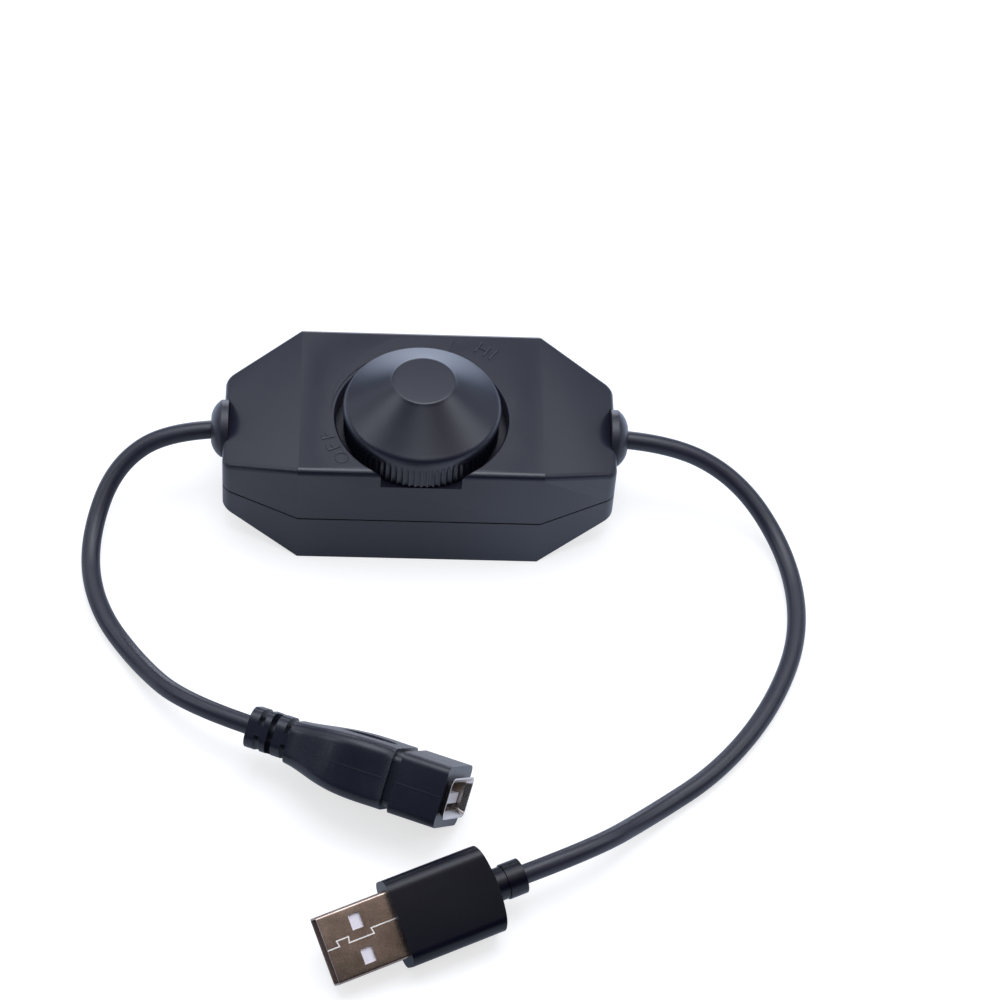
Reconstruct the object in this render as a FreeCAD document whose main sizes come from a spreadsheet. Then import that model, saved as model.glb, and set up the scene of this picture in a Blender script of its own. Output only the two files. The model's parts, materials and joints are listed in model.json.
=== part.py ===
import FreeCAD, Part
import math
import os
import re

import Sketcher
from FreeCAD import Placement, Rotation, Vector

# Rotary cord dimmer: a two-shell faceted case with a large knob in a round well,
# a rotary control with its own switch, a small circuit board, and two captive cords.
# Origin at the middle of the flat underside, +X along the supply cord side, +Y to the back.

# Driving sizes in millimetres, written once and read by every sub-part
SIZES = {
    # case
    "length": 74.0,
    "width": 36.6,
    "height": 24.0,
    "panel_length": 45.4,
    "parting_gap": 0.3,
    "wall": 1.8,
    "corner_radius": 3.0,
    "edge_radius": 1.2,
    "lip_height": 1.3,
    "lip_inset": 1.0,
    "lip_gap": 0.1,
    "lip_break": 13.4,
    # well for the knob
    "well_margin": 6.1,
    "well_overhang": 1.7,
    "well_wall": 1.5,
    "well_chamfer": 0.3,
    # screws and bosses
    "screw_end_inset": 3.5,
    "screw_side_inset": 4.6,
    "boss_diameter": 6.4,
    "screw_diameter": 2.6,
    "screw_hole": 2.9,
    "screw_pilot": 2.1,
    "screw_head_diameter": 4.6,
    "screw_head_height": 1.6,
    "screw_length": 13.0,
    "counterbore_diameter": 5.2,
    "counterbore_depth": 2.4,
    "cross_slot_width": 0.6,
    "cross_slot_length": 2.8,
    "cross_slot_depth": 0.8,
    # knob
    "knob_clearance": 0.4,
    "knob_gap": 1.3,
    "knob_edge_height": 7.0,
    "knob_height": 13.3,
    "knob_flat_radius": 5.8,
    "knob_edge_round": 1.1,
    "knob_flank_sag": 0.45,
    "knob_wall": 1.6,
    "knob_hub_radius": 4.6,
    "knob_hub_recess": 2.9,
    "knob_bore_depth": 8.0,
    "flute_count": 80,
    "flute_share": 0.86,
    "flute_depth": 0.36,
    "flute_height": 5.3,
    "knob_band_depth": 0.25,
    # rotary control
    "bush_wall": 0.4,
    "bush_gap": 0.2,
    "bush_top": 2.5,
    "shaft_clearance": 0.05,
    "shaft_flat": 1.5,
    "control_diameter": 16.4,
    "can_wall": 0.5,
    "rotor_gap": 1.2,
    "wiper_thickness": 0.3,
    "switch_inset": 0.7,
    "nut_wall": 1.1,
    "nut_thickness": 1.7,
    "washer_rim": 2.1,
    "washer_thickness": 0.5,
    "turn_stop_inset": 1.2,
    "turn_stop_width": 2.4,
    "turn_stop_thickness": 1.0,
    "terminal_width": 1.2,
    "terminal_thickness": 0.4,
    "terminal_pitch": 5.0,
    "terminal_overhang": 1.8,
    "switch_pin_pitch": 5.0,
    # circuit board and its parts
    "board_thickness": 1.6,
    "board_length": 46.0,
    "board_side_gap": 0.8,
    "board_neck_gap": 1.3,
    "board_centre_gap": 1.0,
    "post_end_inset": 3.0,
    "post_side_inset": 2.5,
    "post_diameter": 4.0,
    "post_pin_diameter": 1.6,
    "post_pin_rise": 0.6,
    "capacitor_diameter": 6.3,
    "capacitor_height": 8.0,
    "capacitor_edge": 0.5,
    "package_lift": 0.15,
    "leg_width": 0.45,
    "leg_thickness": 0.2,
    "leg_pitch": 1.27,
    "leg_reach": 1.0,
    "chip_length": 4.9,
    "chip_width": 3.9,
    "chip_height": 1.6,
    "transistor_length": 6.1,
    "transistor_width": 6.6,
    "transistor_height": 2.3,
    "transistor_tab": 5.4,
    "diode_length": 4.4,
    "diode_width": 3.6,
    "diode_height": 2.2,
    "diode_strip": 2.0,
    "resistor_length": 3.2,
    "resistor_width": 1.6,
    "resistor_height": 0.6,
    "chip_capacitor_length": 2.0,
    "chip_capacitor_width": 1.3,
    "chip_capacitor_height": 0.9,
    "lead_pad_inset": 1.6,
    # cords and grommets
    "cord_diameter": 3.5,
    "grommet_cap": 10.9,
    "grommet_edge": 0.3,
    "grommet_dome": 1.9,
    "grommet_mouth": 5.4,
    "grommet_stand_off": 0.2,
    "grommet_neck": 4.4,
    "grommet_fit": 0.1,
    "grommet_collar_width": 7.4,
    "grommet_collar_drop": 2.7,
    "grommet_collar_rise": 0.7,
    "grommet_collar_thickness": 1.6,
    "recess_depth": 1.0,
    "recess_gap": 0.3,
    "bore_gap": 0.02,
    "jacket_reach": 4.6,
    "lead_diameter": 1.1,
    "lead_spacing": 1.5,
    # plug
    "plug_yaw": 205.0,
    "plug_pitch": 1.5,
    "plug_roll": -32.0,
    "plug_grip_width": 15.5,
    "plug_grip_thickness": 8.0,
    "plug_grip_length": 17.4,
    "plug_grip_round": 2.5,
    "plug_rear_bulge": 1.1,
    "plug_relief_diameter": 5.8,
    "plug_relief_length": 6.6,
    "plug_ring_diameter": 6.3,
    "plug_ring_length": 3.3,
    "plug_metal_length": 13.0,
    "plug_metal_width": 12.0,
    "plug_metal_thickness": 4.5,
    "plug_metal_wall": 0.32,
    "plug_metal_round": 0.55,
    "plug_metal_hold": 5.0,
    "window_length": 2.1,
    "window_width": 2.7,
    "window_setback": 5.3,
    "window_offset": 3.05,
    "seam_width": 0.16,
    "contact_width": 1.0,
    "contact_thickness": 0.15,
    # socket
    "socket_yaw": -23.2,
    "socket_pitch": -3.0,
    "socket_roll": -49.0,
    "socket_width": 16.0,
    "socket_thickness": 11.1,
    "socket_offset": 0.6,
    "socket_round": 1.5,
    "socket_block_length": 8.8,
    "socket_groove_length": 1.6,
    "socket_groove_depth": 0.8,
    "socket_grip_length": 20.2,
    "socket_rear_width": 9.0,
    "socket_rear_thickness": 7.6,
    "relief_ring_width": 8.0,
    "relief_ring_thickness": 7.4,
    "relief_core_diameter": 4.3,
    "relief_bridge": 2.0,
    "relief_round": 2.5,
    "relief_end_ring": 1.8,
    "relief_middle_ring": 1.1,
    "relief_front_ring": 1.8,
    "relief_gap": 1.1,
    "oval_length": 12.4,
    "oval_width": 5.0,
    "oval_depth": 0.5,
    "oval_setback": 2.0,
    "socket_metal_width": 13.1,
    "socket_metal_thickness": 5.7,
    "socket_metal_wall": 0.3,
    "socket_metal_hold": 12.0,
    "lip_flare": 0.9,
    "lip_reach": 1.0,
    "tongue_gap": 0.05,
    "tongue_setback": 0.6,
    "tongue_inset": 0.7,
    "tongue_drop": 1.0,
    "tongue_thickness": 1.9,
    "tongue_root": 2.4,
    "contact_setback": 1.4,
    "contact_inner": 1.0,
    "contact_outer": 3.5,
}

# Sizes that follow from the driving ones, each by a share or a named clearance
FOLLOWING = {
    "end_width": "width * 22.7 / 36.6",
    "end_top": "height * 17.3 / 24",
    "end_bottom": "height * 5.7 / 24",
    "parting_height": "height * 11 / 24",
    "cord_height": "height * 15.2 / 24",
    "well_floor": "height * 20.3 / 24",
    "well_radius": "(width - well_margin + well_overhang) / 2",
    "well_y": "-(well_margin + well_overhang) / 2",
    "screw_x": "panel_length / 2 - screw_end_inset",
    "screw_y": "width / 2 - screw_side_inset",
    "knob_radius": "well_radius - knob_gap",
    "flute_radius": "knob_radius * flute_share * 3.1416 / flute_count",
    "plate_thickness": "height / 24",
    "can_height": "height * 7 / 24",
    "wafer_thickness": "height * 1.6 / 24",
    "rotor_thickness": "height * 2 / 24",
    "wiper_rise": "height * 0.75 / 24",
    "switch_height": "height * 3.4 / 24",
    "shaft_diameter": "control_diameter * 6 / 16.4",
    "bush_diameter": "shaft_diameter + bush_wall * 2",
    "bush_hole": "bush_diameter + bush_gap * 2",
    "nut_flats": "bush_diameter + nut_wall * 2",
    "washer_diameter": "bush_diameter + washer_rim * 2",
    "rotor_diameter": "control_diameter - (can_wall + rotor_gap) * 2",
    "switch_diameter": "control_diameter - switch_inset * 2",
    "turn_stop_radius": "control_diameter / 2 - turn_stop_inset",
    "terminal_reach": "control_diameter / 2 + terminal_overhang",
    "board_height": "height * 5 / 24",
    "board_width": "width - (wall + board_side_gap) * 2",
    "board_neck_width": "(screw_y - boss_diameter / 2 - board_neck_gap) * 2",
    "board_centre_length": "(screw_x - boss_diameter / 2 - board_centre_gap) * 2",
    "post_x": "board_centre_length / 2 - post_end_inset",
    "post_y": "board_width / 2 - post_side_inset",
    "jacket_start": "length / 2 - jacket_reach",
}

# Route of each cord: how far beyond the case's end, how far towards the back, and the height
OUTPUT_ROUTE = [
    ("-jacket_reach", 0.0, "cord_height"),
    (9.0, 0.0, "cord_height"),
    (20.5, -4.6, 9.5),
    (25.0, -18.0, 1.8),
    (22.4, -33.4, 1.8),
    (13.9, -46.6, 1.9),
    (4.6, -59.7, 7.6),
    (-7.7, -64.9, 8.2),
]
INPUT_ROUTE = [
    ("-jacket_reach", 0.0, "cord_height"),
    (9.0, 0.0, "cord_height"),
    (24.0, -3.6, 9.2),
    (33.6, -16.5, 1.8),
    (34.7, -35.3, 1.8),
    (28.3, -52.8, 1.8),
    (17.5, -67.9, 1.8),
    (4.1, -78.6, 2.2),
    (-6.6, -89.4, 7.6),
    (-19.3, -95.1, 7.3),
]
ARC_SHARE = 0.45

# Form of the socket's grip: share of its length, of its growth in width and of that in thickness
SOCKET_WAIST = (
    (0.0, 0.0, 0.0),
    (0.14, 0.2, 0.22),
    (0.4, 0.82, 0.72),
    (0.62, 1.0, 0.97),
    (1.0, 1.0, 1.0),
)

# Middle of each part on the board, in shares of half the board's length, neck or centre part
NECK_PLACES = {
    "power_transistor": (-0.72, 0.1),
    "control_chip": (0.77, -0.56),
    "filter_capacitor": (0.76, 0.47),
}
CENTRE_PLACES = {
    "flyback_diode": [(-0.74, -0.5)],
    "chip_resistors": [(-0.6, 0.5), (-0.6, 0.36), (0.6, 0.5), (0.6, 0.36)],
    "chip_capacitors": [(0.74, -0.2), (0.74, -0.4)],
}

doc = FreeCAD.newDocument("rotary_cord_dimmer")
sheet = doc.addObject("Spreadsheet::Sheet", "sizes")
for row, (alias, number) in enumerate(SIZES.items(), start=1):
    sheet.set("A%d" % row, alias)
    sheet.set("B%d" % row, str(number))
    sheet.setAlias("B%d" % row, alias)
doc.recompute()

sub_parts = []


def cell(alias):
    """The value of one size, whether it drives or follows."""
    return number(alias)


def formula(text):
    """An expression on the sheet's cells, from the plain names of sizes."""

    def full_name(word):
        name = word.group()
        if name in FOLLOWING:
            return "(" + formula(FOLLOWING[name]) + ")"
        return "sizes." + name if name in SIZES else name

    return re.sub(r"[a-z_]+", full_name, text)


def number(text):
    """The present value of such an expression."""
    return float(sheet.evalExpression(formula(text)))


def keep(piece, label):
    """Names a finished sub-part and puts it on the list that is exported."""
    piece.Label = label
    sub_parts.append(piece)
    return piece


def new_body(label):
    return keep(doc.addObject("PartDesign::Body", label + "_body"), label)


def origin_plane(body, role):
    return [item for item in body.Origin.OriginFeatures if item.Role == role][0]


def new_sketch(body, name, role, shift="0"):
    sketch = body.newObject("Sketcher::SketchObject", name)
    sketch.AttachmentSupport = [(origin_plane(body, role), "")]
    sketch.MapMode = "FlatFace"
    sketch.setExpression("AttachmentOffset.Base.z", formula(shift))
    return sketch


def pin_point(sketch, line, end, x, y):
    """Holds one end of a line at a place given by two expressions."""
    for kind, text in (("DistanceX", x), ("DistanceY", y)):
        index = sketch.addConstraint(Sketcher.Constraint(kind, line, end, number(text)))
        sketch.setExpression("Constraints[%d]" % index, formula(text))


def polygon(sketch, corners):
    """A closed outline of straight lines through corners given by expressions."""
    places = [Vector(number(x), number(y), 0) for x, y in corners]
    first = sketch.GeometryCount
    count = len(corners)
    for i in range(count):
        sketch.addGeometry(Part.LineSegment(places[i], places[(i + 1) % count]), False)
    for i in range(count):
        sketch.addConstraint(Sketcher.Constraint("Coincident", first + i, 2, first + (i + 1) % count, 1))
        pin_point(sketch, first + i, 1, *corners[i])


def circle(sketch, x, y, radius):
    """A circle whose centre and radius are given by expressions."""
    centre = Vector(number(x), number(y), 0)
    index = sketch.addGeometry(Part.Circle(centre, Vector(0, 0, 1), number(radius)), False)
    pin_point(sketch, index, 3, x, y)
    held = sketch.addConstraint(Sketcher.Constraint("Radius", index, number(radius)))
    sketch.setExpression("Constraints[%d]" % held, formula(radius))


def rectangle(sketch, x, y, width, depth):
    """An upright rectangle about a centre, all given by expressions."""
    left, right = "(%s) - (%s) / 2" % (x, width), "(%s) + (%s) / 2" % (x, width)
    low, high = "(%s) - (%s) / 2" % (y, depth), "(%s) + (%s) / 2" % (y, depth)
    polygon(sketch, [(left, low), (right, low), (right, high), (left, high)])


def pad(body, sketch, length, reverse=False, middle=False):
    feature = body.newObject("PartDesign::Pad", sketch.Name + "_pad")
    feature.Profile = sketch
    feature.setExpression("Length", formula(length))
    feature.Reversed = reverse
    feature.Midplane = middle
    doc.recompute()
    return feature


def pocket(body, sketch, depth, reverse=False, middle=False):
    """Cuts a sketch's outline and makes sure that it took material away."""
    before = body.Shape.Volume
    feature = body.newObject("PartDesign::Pocket", sketch.Name + "_pocket")
    feature.Profile = sketch
    feature.setExpression("Length", formula(depth))
    feature.Reversed = reverse
    feature.Midplane = middle
    doc.recompute()
    if not body.Shape.Volume < before:
        raise RuntimeError(sketch.Name + " cuts nothing")
    return feature


def revolve(body, sketch, axis="V_Axis"):
    feature = body.newObject("PartDesign::Revolution", sketch.Name + "_revolution")
    feature.Profile = sketch
    feature.ReferenceAxis = (sketch, [axis])
    feature.Angle = 360
    doc.recompute()
    return feature


def round_edges(body, name, kind, radius, chosen):
    """Fillets or chamfers the edges of the body's tip that a test picks."""
    base = body.Tip
    names = ["Edge%d" % (i + 1) for i, edge in enumerate(base.Shape.Edges) if chosen(edge)]
    feature = body.newObject("PartDesign::" + kind, name)
    feature.Base = (base, names)
    feature.setExpression("Radius" if kind == "Fillet" else "Size", formula(radius))
    doc.recompute()
    return feature


def solid_feature(label, shape, placement=None):
    """A sub-part whose shape comes from Part's own functions."""
    piece = doc.addObject("Part::Feature", label + "_shape")
    piece.Shape = shape
    if placement:
        piece.Placement = placement
    return keep(piece, label)


def block(x0, x1, y0, y1, z0, z1):
    return Part.makeBox(x1 - x0, y1 - y0, z1 - z0, Vector(x0, y0, z0))


def upright(radius, z0, z1, x=0.0, y=0.0):
    return Part.makeCylinder(radius, z1 - z0, Vector(x, y, z0))


def octagon(inset="0"):
    """Corners of the case's plan, moved inwards by an inset."""
    run = "((length - panel_length) / 2)"
    rise = "((width - end_width) / 2)"
    slant = "sqrt(%s ^ 2 + %s ^ 2)" % (run, rise)
    panel_x = "(panel_length / 2 - (%s) * (%s - %s) / %s)" % (inset, slant, run, rise)
    panel_y = "(width / 2 - (%s))" % inset
    end_x = "(length / 2 - (%s))" % inset
    end_y = "(end_width / 2 - (%s) * (%s - %s) / %s)" % (inset, slant, rise, run)
    quarter = [(end_x, end_y), (panel_x, panel_y)]
    half = quarter + [("-" + x, y) for x, y in reversed(quarter)]
    return half + [(x, "-" + y) for x, y in reversed(half)]


def rim_strip(outer_inset, inner_inset, gap, side):
    """Half of the rim between two insets, open by a gap at both ends of the case."""
    outer = octagon(outer_inset)[:4]
    inner = octagon(inner_inset)[:4]
    stop = "(%s) / 2" % gap
    loop = [(outer[0][0], stop)] + outer + [(outer[3][0], stop), (inner[3][0], stop)]
    loop = loop + list(reversed(inner)) + [(inner[0][0], stop)]
    return [(x, side + "(%s)" % y) for x, y in loop]


def wedge(level, end_level, panel_level):
    """Side view of what is cut off both ends, beyond the sloping end panels."""
    far = "(length / 2 + wall)"
    slope = "((%s) - (%s)) / ((length - panel_length) / 2)" % (end_level, panel_level)
    past = "((%s) + wall * %s)" % (end_level, slope)
    right = [("panel_length / 2", panel_level), (far, past), (far, level), ("panel_length / 2", level)]
    return [right, [("-(%s)" % x, y) for x, y in right]]


def screw_places():
    return [(sx + "screw_x", sy + "screw_y") for sx in ("", "-") for sy in ("", "-")]


def post_places():
    return [(sx + "post_x", sy + "post_y") for sx in ("", "-") for sy in ("", "-")]


def upright_edge(edge, x, y):
    """True for a vertical edge over one corner of the plan."""
    ends = [vertex.Point for vertex in edge.Vertexes]
    if len(ends) != 2 or abs(ends[0].z - ends[1].z) < 1e-6:
        return False
    return all(abs(abs(p.x) - x) < 1e-4 and abs(abs(p.y) - y) < 1e-4 for p in ends)


def shell_case(body, name, low, high, wedge_corners, open_level, roof, end_roof):
    """The faceted form between two levels, hollowed to its wall and left open at the parting."""
    plan = new_sketch(body, name + "_plan", "XY_Plane", low)
    polygon(plan, octagon())
    pad(body, plan, "(%s) - (%s)" % (high, low))
    for i, corners in enumerate(wedge_corners):
        cut = new_sketch(body, "%s_slope_%d" % (name, i), "XZ_Plane")
        polygon(cut, corners)
        pocket(body, cut, "width * 2", middle=True)
    end_x, end_y = cell("length") / 2, cell("end_width") / 2
    round_edges(body, name + "_corners", "Fillet", "corner_radius", lambda e: upright_edge(e, end_x, end_y))

    # Hollow: a straight middle and two ends that narrow with the outside
    (far_x, far_y), (near_x, near_y) = octagon("wall")[:2]

    def opening(sketch_name, shift, half, end):
        sketch = new_sketch(body, sketch_name, "YZ_Plane", shift)
        polygon(sketch, [("-" + half, open_level), (half, open_level), (half, end), ("-" + half, end)])
        return sketch

    pocket(body, opening(name + "_hollow", "0", near_y, roof), near_x + " * 2", middle=True)
    for i, side in enumerate(("", "-")):
        before = body.Shape.Volume
        loft = body.newObject("PartDesign::SubtractiveLoft", "%s_hollow_end_%d" % (name, i))
        near = opening("%s_near_%d" % (name, i), side + near_x, near_y, roof)
        far = opening("%s_far_%d" % (name, i), side + far_x, far_y, end_roof)
        loft.Profile = near
        loft.Sections = [far]
        loft.Ruled = True
        body.Tip = loft
        doc.recompute()
        if not body.Shape.Volume < before:
            raise RuntimeError(loft.Name + " cuts nothing")


def outer_edge_test(level_low, level_high):
    """Picks the outer long edges of the top or bottom panels between two levels."""
    half_l, half_w, panel, end = (cell(k) / 2 for k in ("length", "width", "panel_length", "end_width"))

    def on_side(p):
        if abs(abs(p.y) - half_w) < 1e-4 or abs(abs(p.x) - half_l) < 1e-4:
            return True
        share = (abs(p.x) - panel) / (half_l - panel)
        return 0 < share < 1 and abs(abs(p.y) - (half_w + (end - half_w) * share)) < 1e-4

    def chosen(edge):
        if edge.Curve.TypeId != "Part::GeomLine":
            return False
        ends = [vertex.Point for vertex in edge.Vertexes]
        middle = (ends[0] + ends[1]) / 2
        upright_line = abs(ends[0].x - ends[1].x) < 1e-6 and abs(ends[0].y - ends[1].y) < 1e-6
        in_range = all(level_low - 1e-6 <= p.z <= level_high + 1e-6 for p in ends)
        return in_range and not upright_line and on_side(middle) and all(on_side(p) for p in ends)

    return chosen


def make_upper_shell():
    body = new_body("upper_shell")
    slope = "((height - end_top) / ((length - panel_length) / 2))"
    end_roof = "(end_top + wall * %s - wall * sqrt(1 + %s ^ 2))" % (slope, slope)
    shell_case(body, "upper", "parting_height", "height", wedge("height + wall", "end_top", "height"),
               "parting_height", "(height - wall)", end_roof)

    # Cup of the knob's well, closed off in line with the front wall
    cup = new_sketch(body, "well_cup", "XY_Plane", "well_floor - well_wall")
    radius = "(well_radius + well_wall)"
    chord = "(width / 2 + well_y)"
    reach = "sqrt(%s ^ 2 - %s ^ 2)" % (radius, chord)
    start = math.atan2(-number(chord), number(reach))
    centre = Vector(0, cell("well_y"), 0)
    ring = Part.Circle(centre, Vector(0, 0, 1), number(radius))
    cup.addGeometry(Part.ArcOfCircle(ring, start, math.pi - start), False)
    left, right = Vector(-number(reach), -cell("width") / 2, 0), Vector(number(reach), -cell("width") / 2, 0)
    cup.addGeometry(Part.LineSegment(left, right), False)
    cup.addConstraint(Sketcher.Constraint("Coincident", 0, 1, 1, 2))
    cup.addConstraint(Sketcher.Constraint("Coincident", 0, 2, 1, 1))
    pin_point(cup, 1, 1, "-" + reach, "-width / 2")
    pin_point(cup, 1, 2, reach, "-width / 2")
    held = cup.addConstraint(Sketcher.Constraint("Radius", 0, number(radius)))
    cup.setExpression("Constraints[%d]" % held, formula(radius))
    pad(body, cup, "height - wall / 2 - well_floor + well_wall")

    bosses = new_sketch(body, "upper_bosses", "XY_Plane", "parting_height")
    for x, y in screw_places():
        circle(bosses, x, y, "boss_diameter / 2")
    pad(body, bosses, "height - wall / 2 - parting_height")

    rabbet = new_sketch(body, "rabbet", "XY_Plane", "parting_height")
    for side in ("", "-"):
        polygon(rabbet, rim_strip("lip_inset - lip_gap", "wall + lip_gap", "lip_break", side))
    pocket(body, rabbet, "lip_height + lip_gap * 2", reverse=True)

    round_edges(body, "top_edges", "Fillet", "edge_radius",
                outer_edge_test(cell("end_top"), cell("height")))

    well = new_sketch(body, "well", "XY_Plane", "well_floor")
    circle(well, "0", "well_y", "well_radius")
    pocket(body, well, "height", reverse=True)
    top = cell("height")

    def well_mouth(edge):
        curve = edge.Curve
        on_top = abs(edge.BoundBox.ZMin - top) < 1e-6 and abs(edge.BoundBox.ZMax - top) < 1e-6
        is_round = curve.TypeId == "Part::GeomCircle"
        return on_top and is_round and abs(curve.Radius - cell("well_radius")) < 1e-6

    round_edges(body, "well_mouth", "Chamfer", "well_chamfer", well_mouth)

    bush_hole = new_sketch(body, "bush_hole", "XY_Plane", "well_floor")
    circle(bush_hole, "0", "well_y", "bush_hole / 2")
    pocket(body, bush_hole, "well_wall * 2")
    stop_slot = new_sketch(body, "turn_stop_slot", "XY_Plane", "well_floor - well_wall")
    rectangle(stop_slot, "turn_stop_radius", "well_y", "turn_stop_thickness + grommet_fit * 2",
              "turn_stop_width + grommet_fit * 2")
    pocket(body, stop_slot, "turn_stop_thickness + grommet_fit", reverse=True)

    pilots = new_sketch(body, "screw_pilots", "XY_Plane", "parting_height")
    for x, y in screw_places():
        circle(pilots, x, y, "screw_pilot / 2")
    pocket(body, pilots, "screw_length - parting_height + counterbore_depth + wall", reverse=True)

    # Slot in each end wall that drops over the grommet's neck
    neck = "(grommet_neck / 2 + grommet_fit)"
    slot = new_sketch(body, "neck_slot", "YZ_Plane")
    rectangle(slot, "0", "(cord_height + parting_height - wall) / 2", neck + " * 2",
              "cord_height - parting_height + wall")
    pocket(body, slot, "length * 2", middle=True)
    eye = new_sketch(body, "neck_eye", "YZ_Plane")
    circle(eye, "0", "cord_height", neck)
    pocket(body, eye, "length * 2", middle=True)
    end_recess(body, "upper")


def end_recess(body, name):
    """A shallow round recess in both end faces behind the grommets' caps."""
    for i, side in enumerate(("", "-")):
        seat = new_sketch(body, "%s_seat_%d" % (name, i), "YZ_Plane", side + "(length / 2)")
        circle(seat, "0", "cord_height", "grommet_cap / 2 + recess_gap")
        pocket(body, seat, "recess_depth", reverse=(side == "-"))


def make_lower_shell():
    body = new_body("lower_shell")
    slope = "(end_bottom / ((length - panel_length) / 2))"
    end_floor = "(end_bottom - wall * %s + wall * sqrt(1 + %s ^ 2))" % (slope, slope)
    shell_case(body, "lower", "0", "parting_height - parting_gap", wedge("-wall", "end_bottom", "0"),
               "(parting_height - parting_gap)", "wall", end_floor)

    lip = new_sketch(body, "lip", "XY_Plane", "parting_height - wall")
    for side in ("", "-"):
        polygon(lip, rim_strip("lip_inset", "wall", "lip_break + lip_gap * 4", side))
    pad(body, lip, "wall + lip_height")

    bosses = new_sketch(body, "lower_bosses", "XY_Plane", "wall / 2")
    for x, y in screw_places():
        circle(bosses, x, y, "boss_diameter / 2")
    pad(body, bosses, "parting_height - wall / 2")
    posts = new_sketch(body, "board_posts", "XY_Plane", "wall / 2")
    for x, y in post_places():
        circle(posts, x, y, "post_diameter / 2")
    pad(body, posts, "board_height - wall / 2")
    pins = new_sketch(body, "board_pins", "XY_Plane", "wall / 2")
    for x, y in post_places():
        circle(pins, x, y, "post_pin_diameter / 2")
    pad(body, pins, "board_height + board_thickness + post_pin_rise - wall / 2")

    heads = new_sketch(body, "counterbores", "XY_Plane")
    for x, y in screw_places():
        circle(heads, x, y, "counterbore_diameter / 2")
    pocket(body, heads, "counterbore_depth", reverse=True)
    holes = new_sketch(body, "screw_holes", "XY_Plane")
    for x, y in screw_places():
        circle(holes, x, y, "screw_hole / 2")
    pocket(body, holes, "parting_height + lip_height", reverse=True)

    # Tongue at each end that closes the neck slot from below and cradles the neck
    tongue = new_sketch(body, "neck_tongue", "XY_Plane", "parting_height - wall")
    for side in ("", "-"):
        middle = side + "(length / 2 - wall + (wall - recess_depth) / 2)"
        rectangle(tongue, middle, "0", "wall - recess_depth", "grommet_neck")
    pad(body, tongue, "cord_height - parting_height + wall")
    cradle = new_sketch(body, "neck_cradle", "YZ_Plane")
    circle(cradle, "0", "cord_height", "grommet_neck / 2 + grommet_fit")
    pocket(body, cradle, "length * 2", middle=True)
    end_recess(body, "lower")


def make_case_screws():
    """Four self-tapping screws with a cross recess, as one group of separate solids."""
    head, shank = cell("screw_head_diameter") / 2, cell("screw_diameter") / 2
    seat = cell("counterbore_depth")
    tall = cell("screw_head_height")
    length = cell("screw_length")
    point = shank * 0.8
    crown = tall * 0.35
    outline = [
        Vector(0, 0, seat - tall), Vector(head * 0.6, 0, seat - tall), Vector(head, 0, seat - tall + crown),
        Vector(head, 0, seat), Vector(shank, 0, seat), Vector(shank, 0, seat + length - point),
        Vector(shank * 0.3, 0, seat + length), Vector(0, 0, seat + length), Vector(0, 0, seat - tall),
    ]
    screw = Part.Face(Part.makePolygon(outline)).revolve(Vector(0, 0, 0), Vector(0, 0, 1), 360)
    arm, slot = cell("cross_slot_length") / 2, cell("cross_slot_width") / 2
    deep = seat - tall + cell("cross_slot_depth")
    for x, y in ((arm, slot), (slot, arm)):
        screw = screw.cut(block(-x, x, -y, y, seat - tall - 1, deep))
    copies = []
    for x, y in screw_places():
        copy = screw.copy()
        copy.translate(Vector(number(x), number(y), 0))
        copies.append(copy)
    solid_feature("case_screws", Part.makeCompound(copies))


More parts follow.
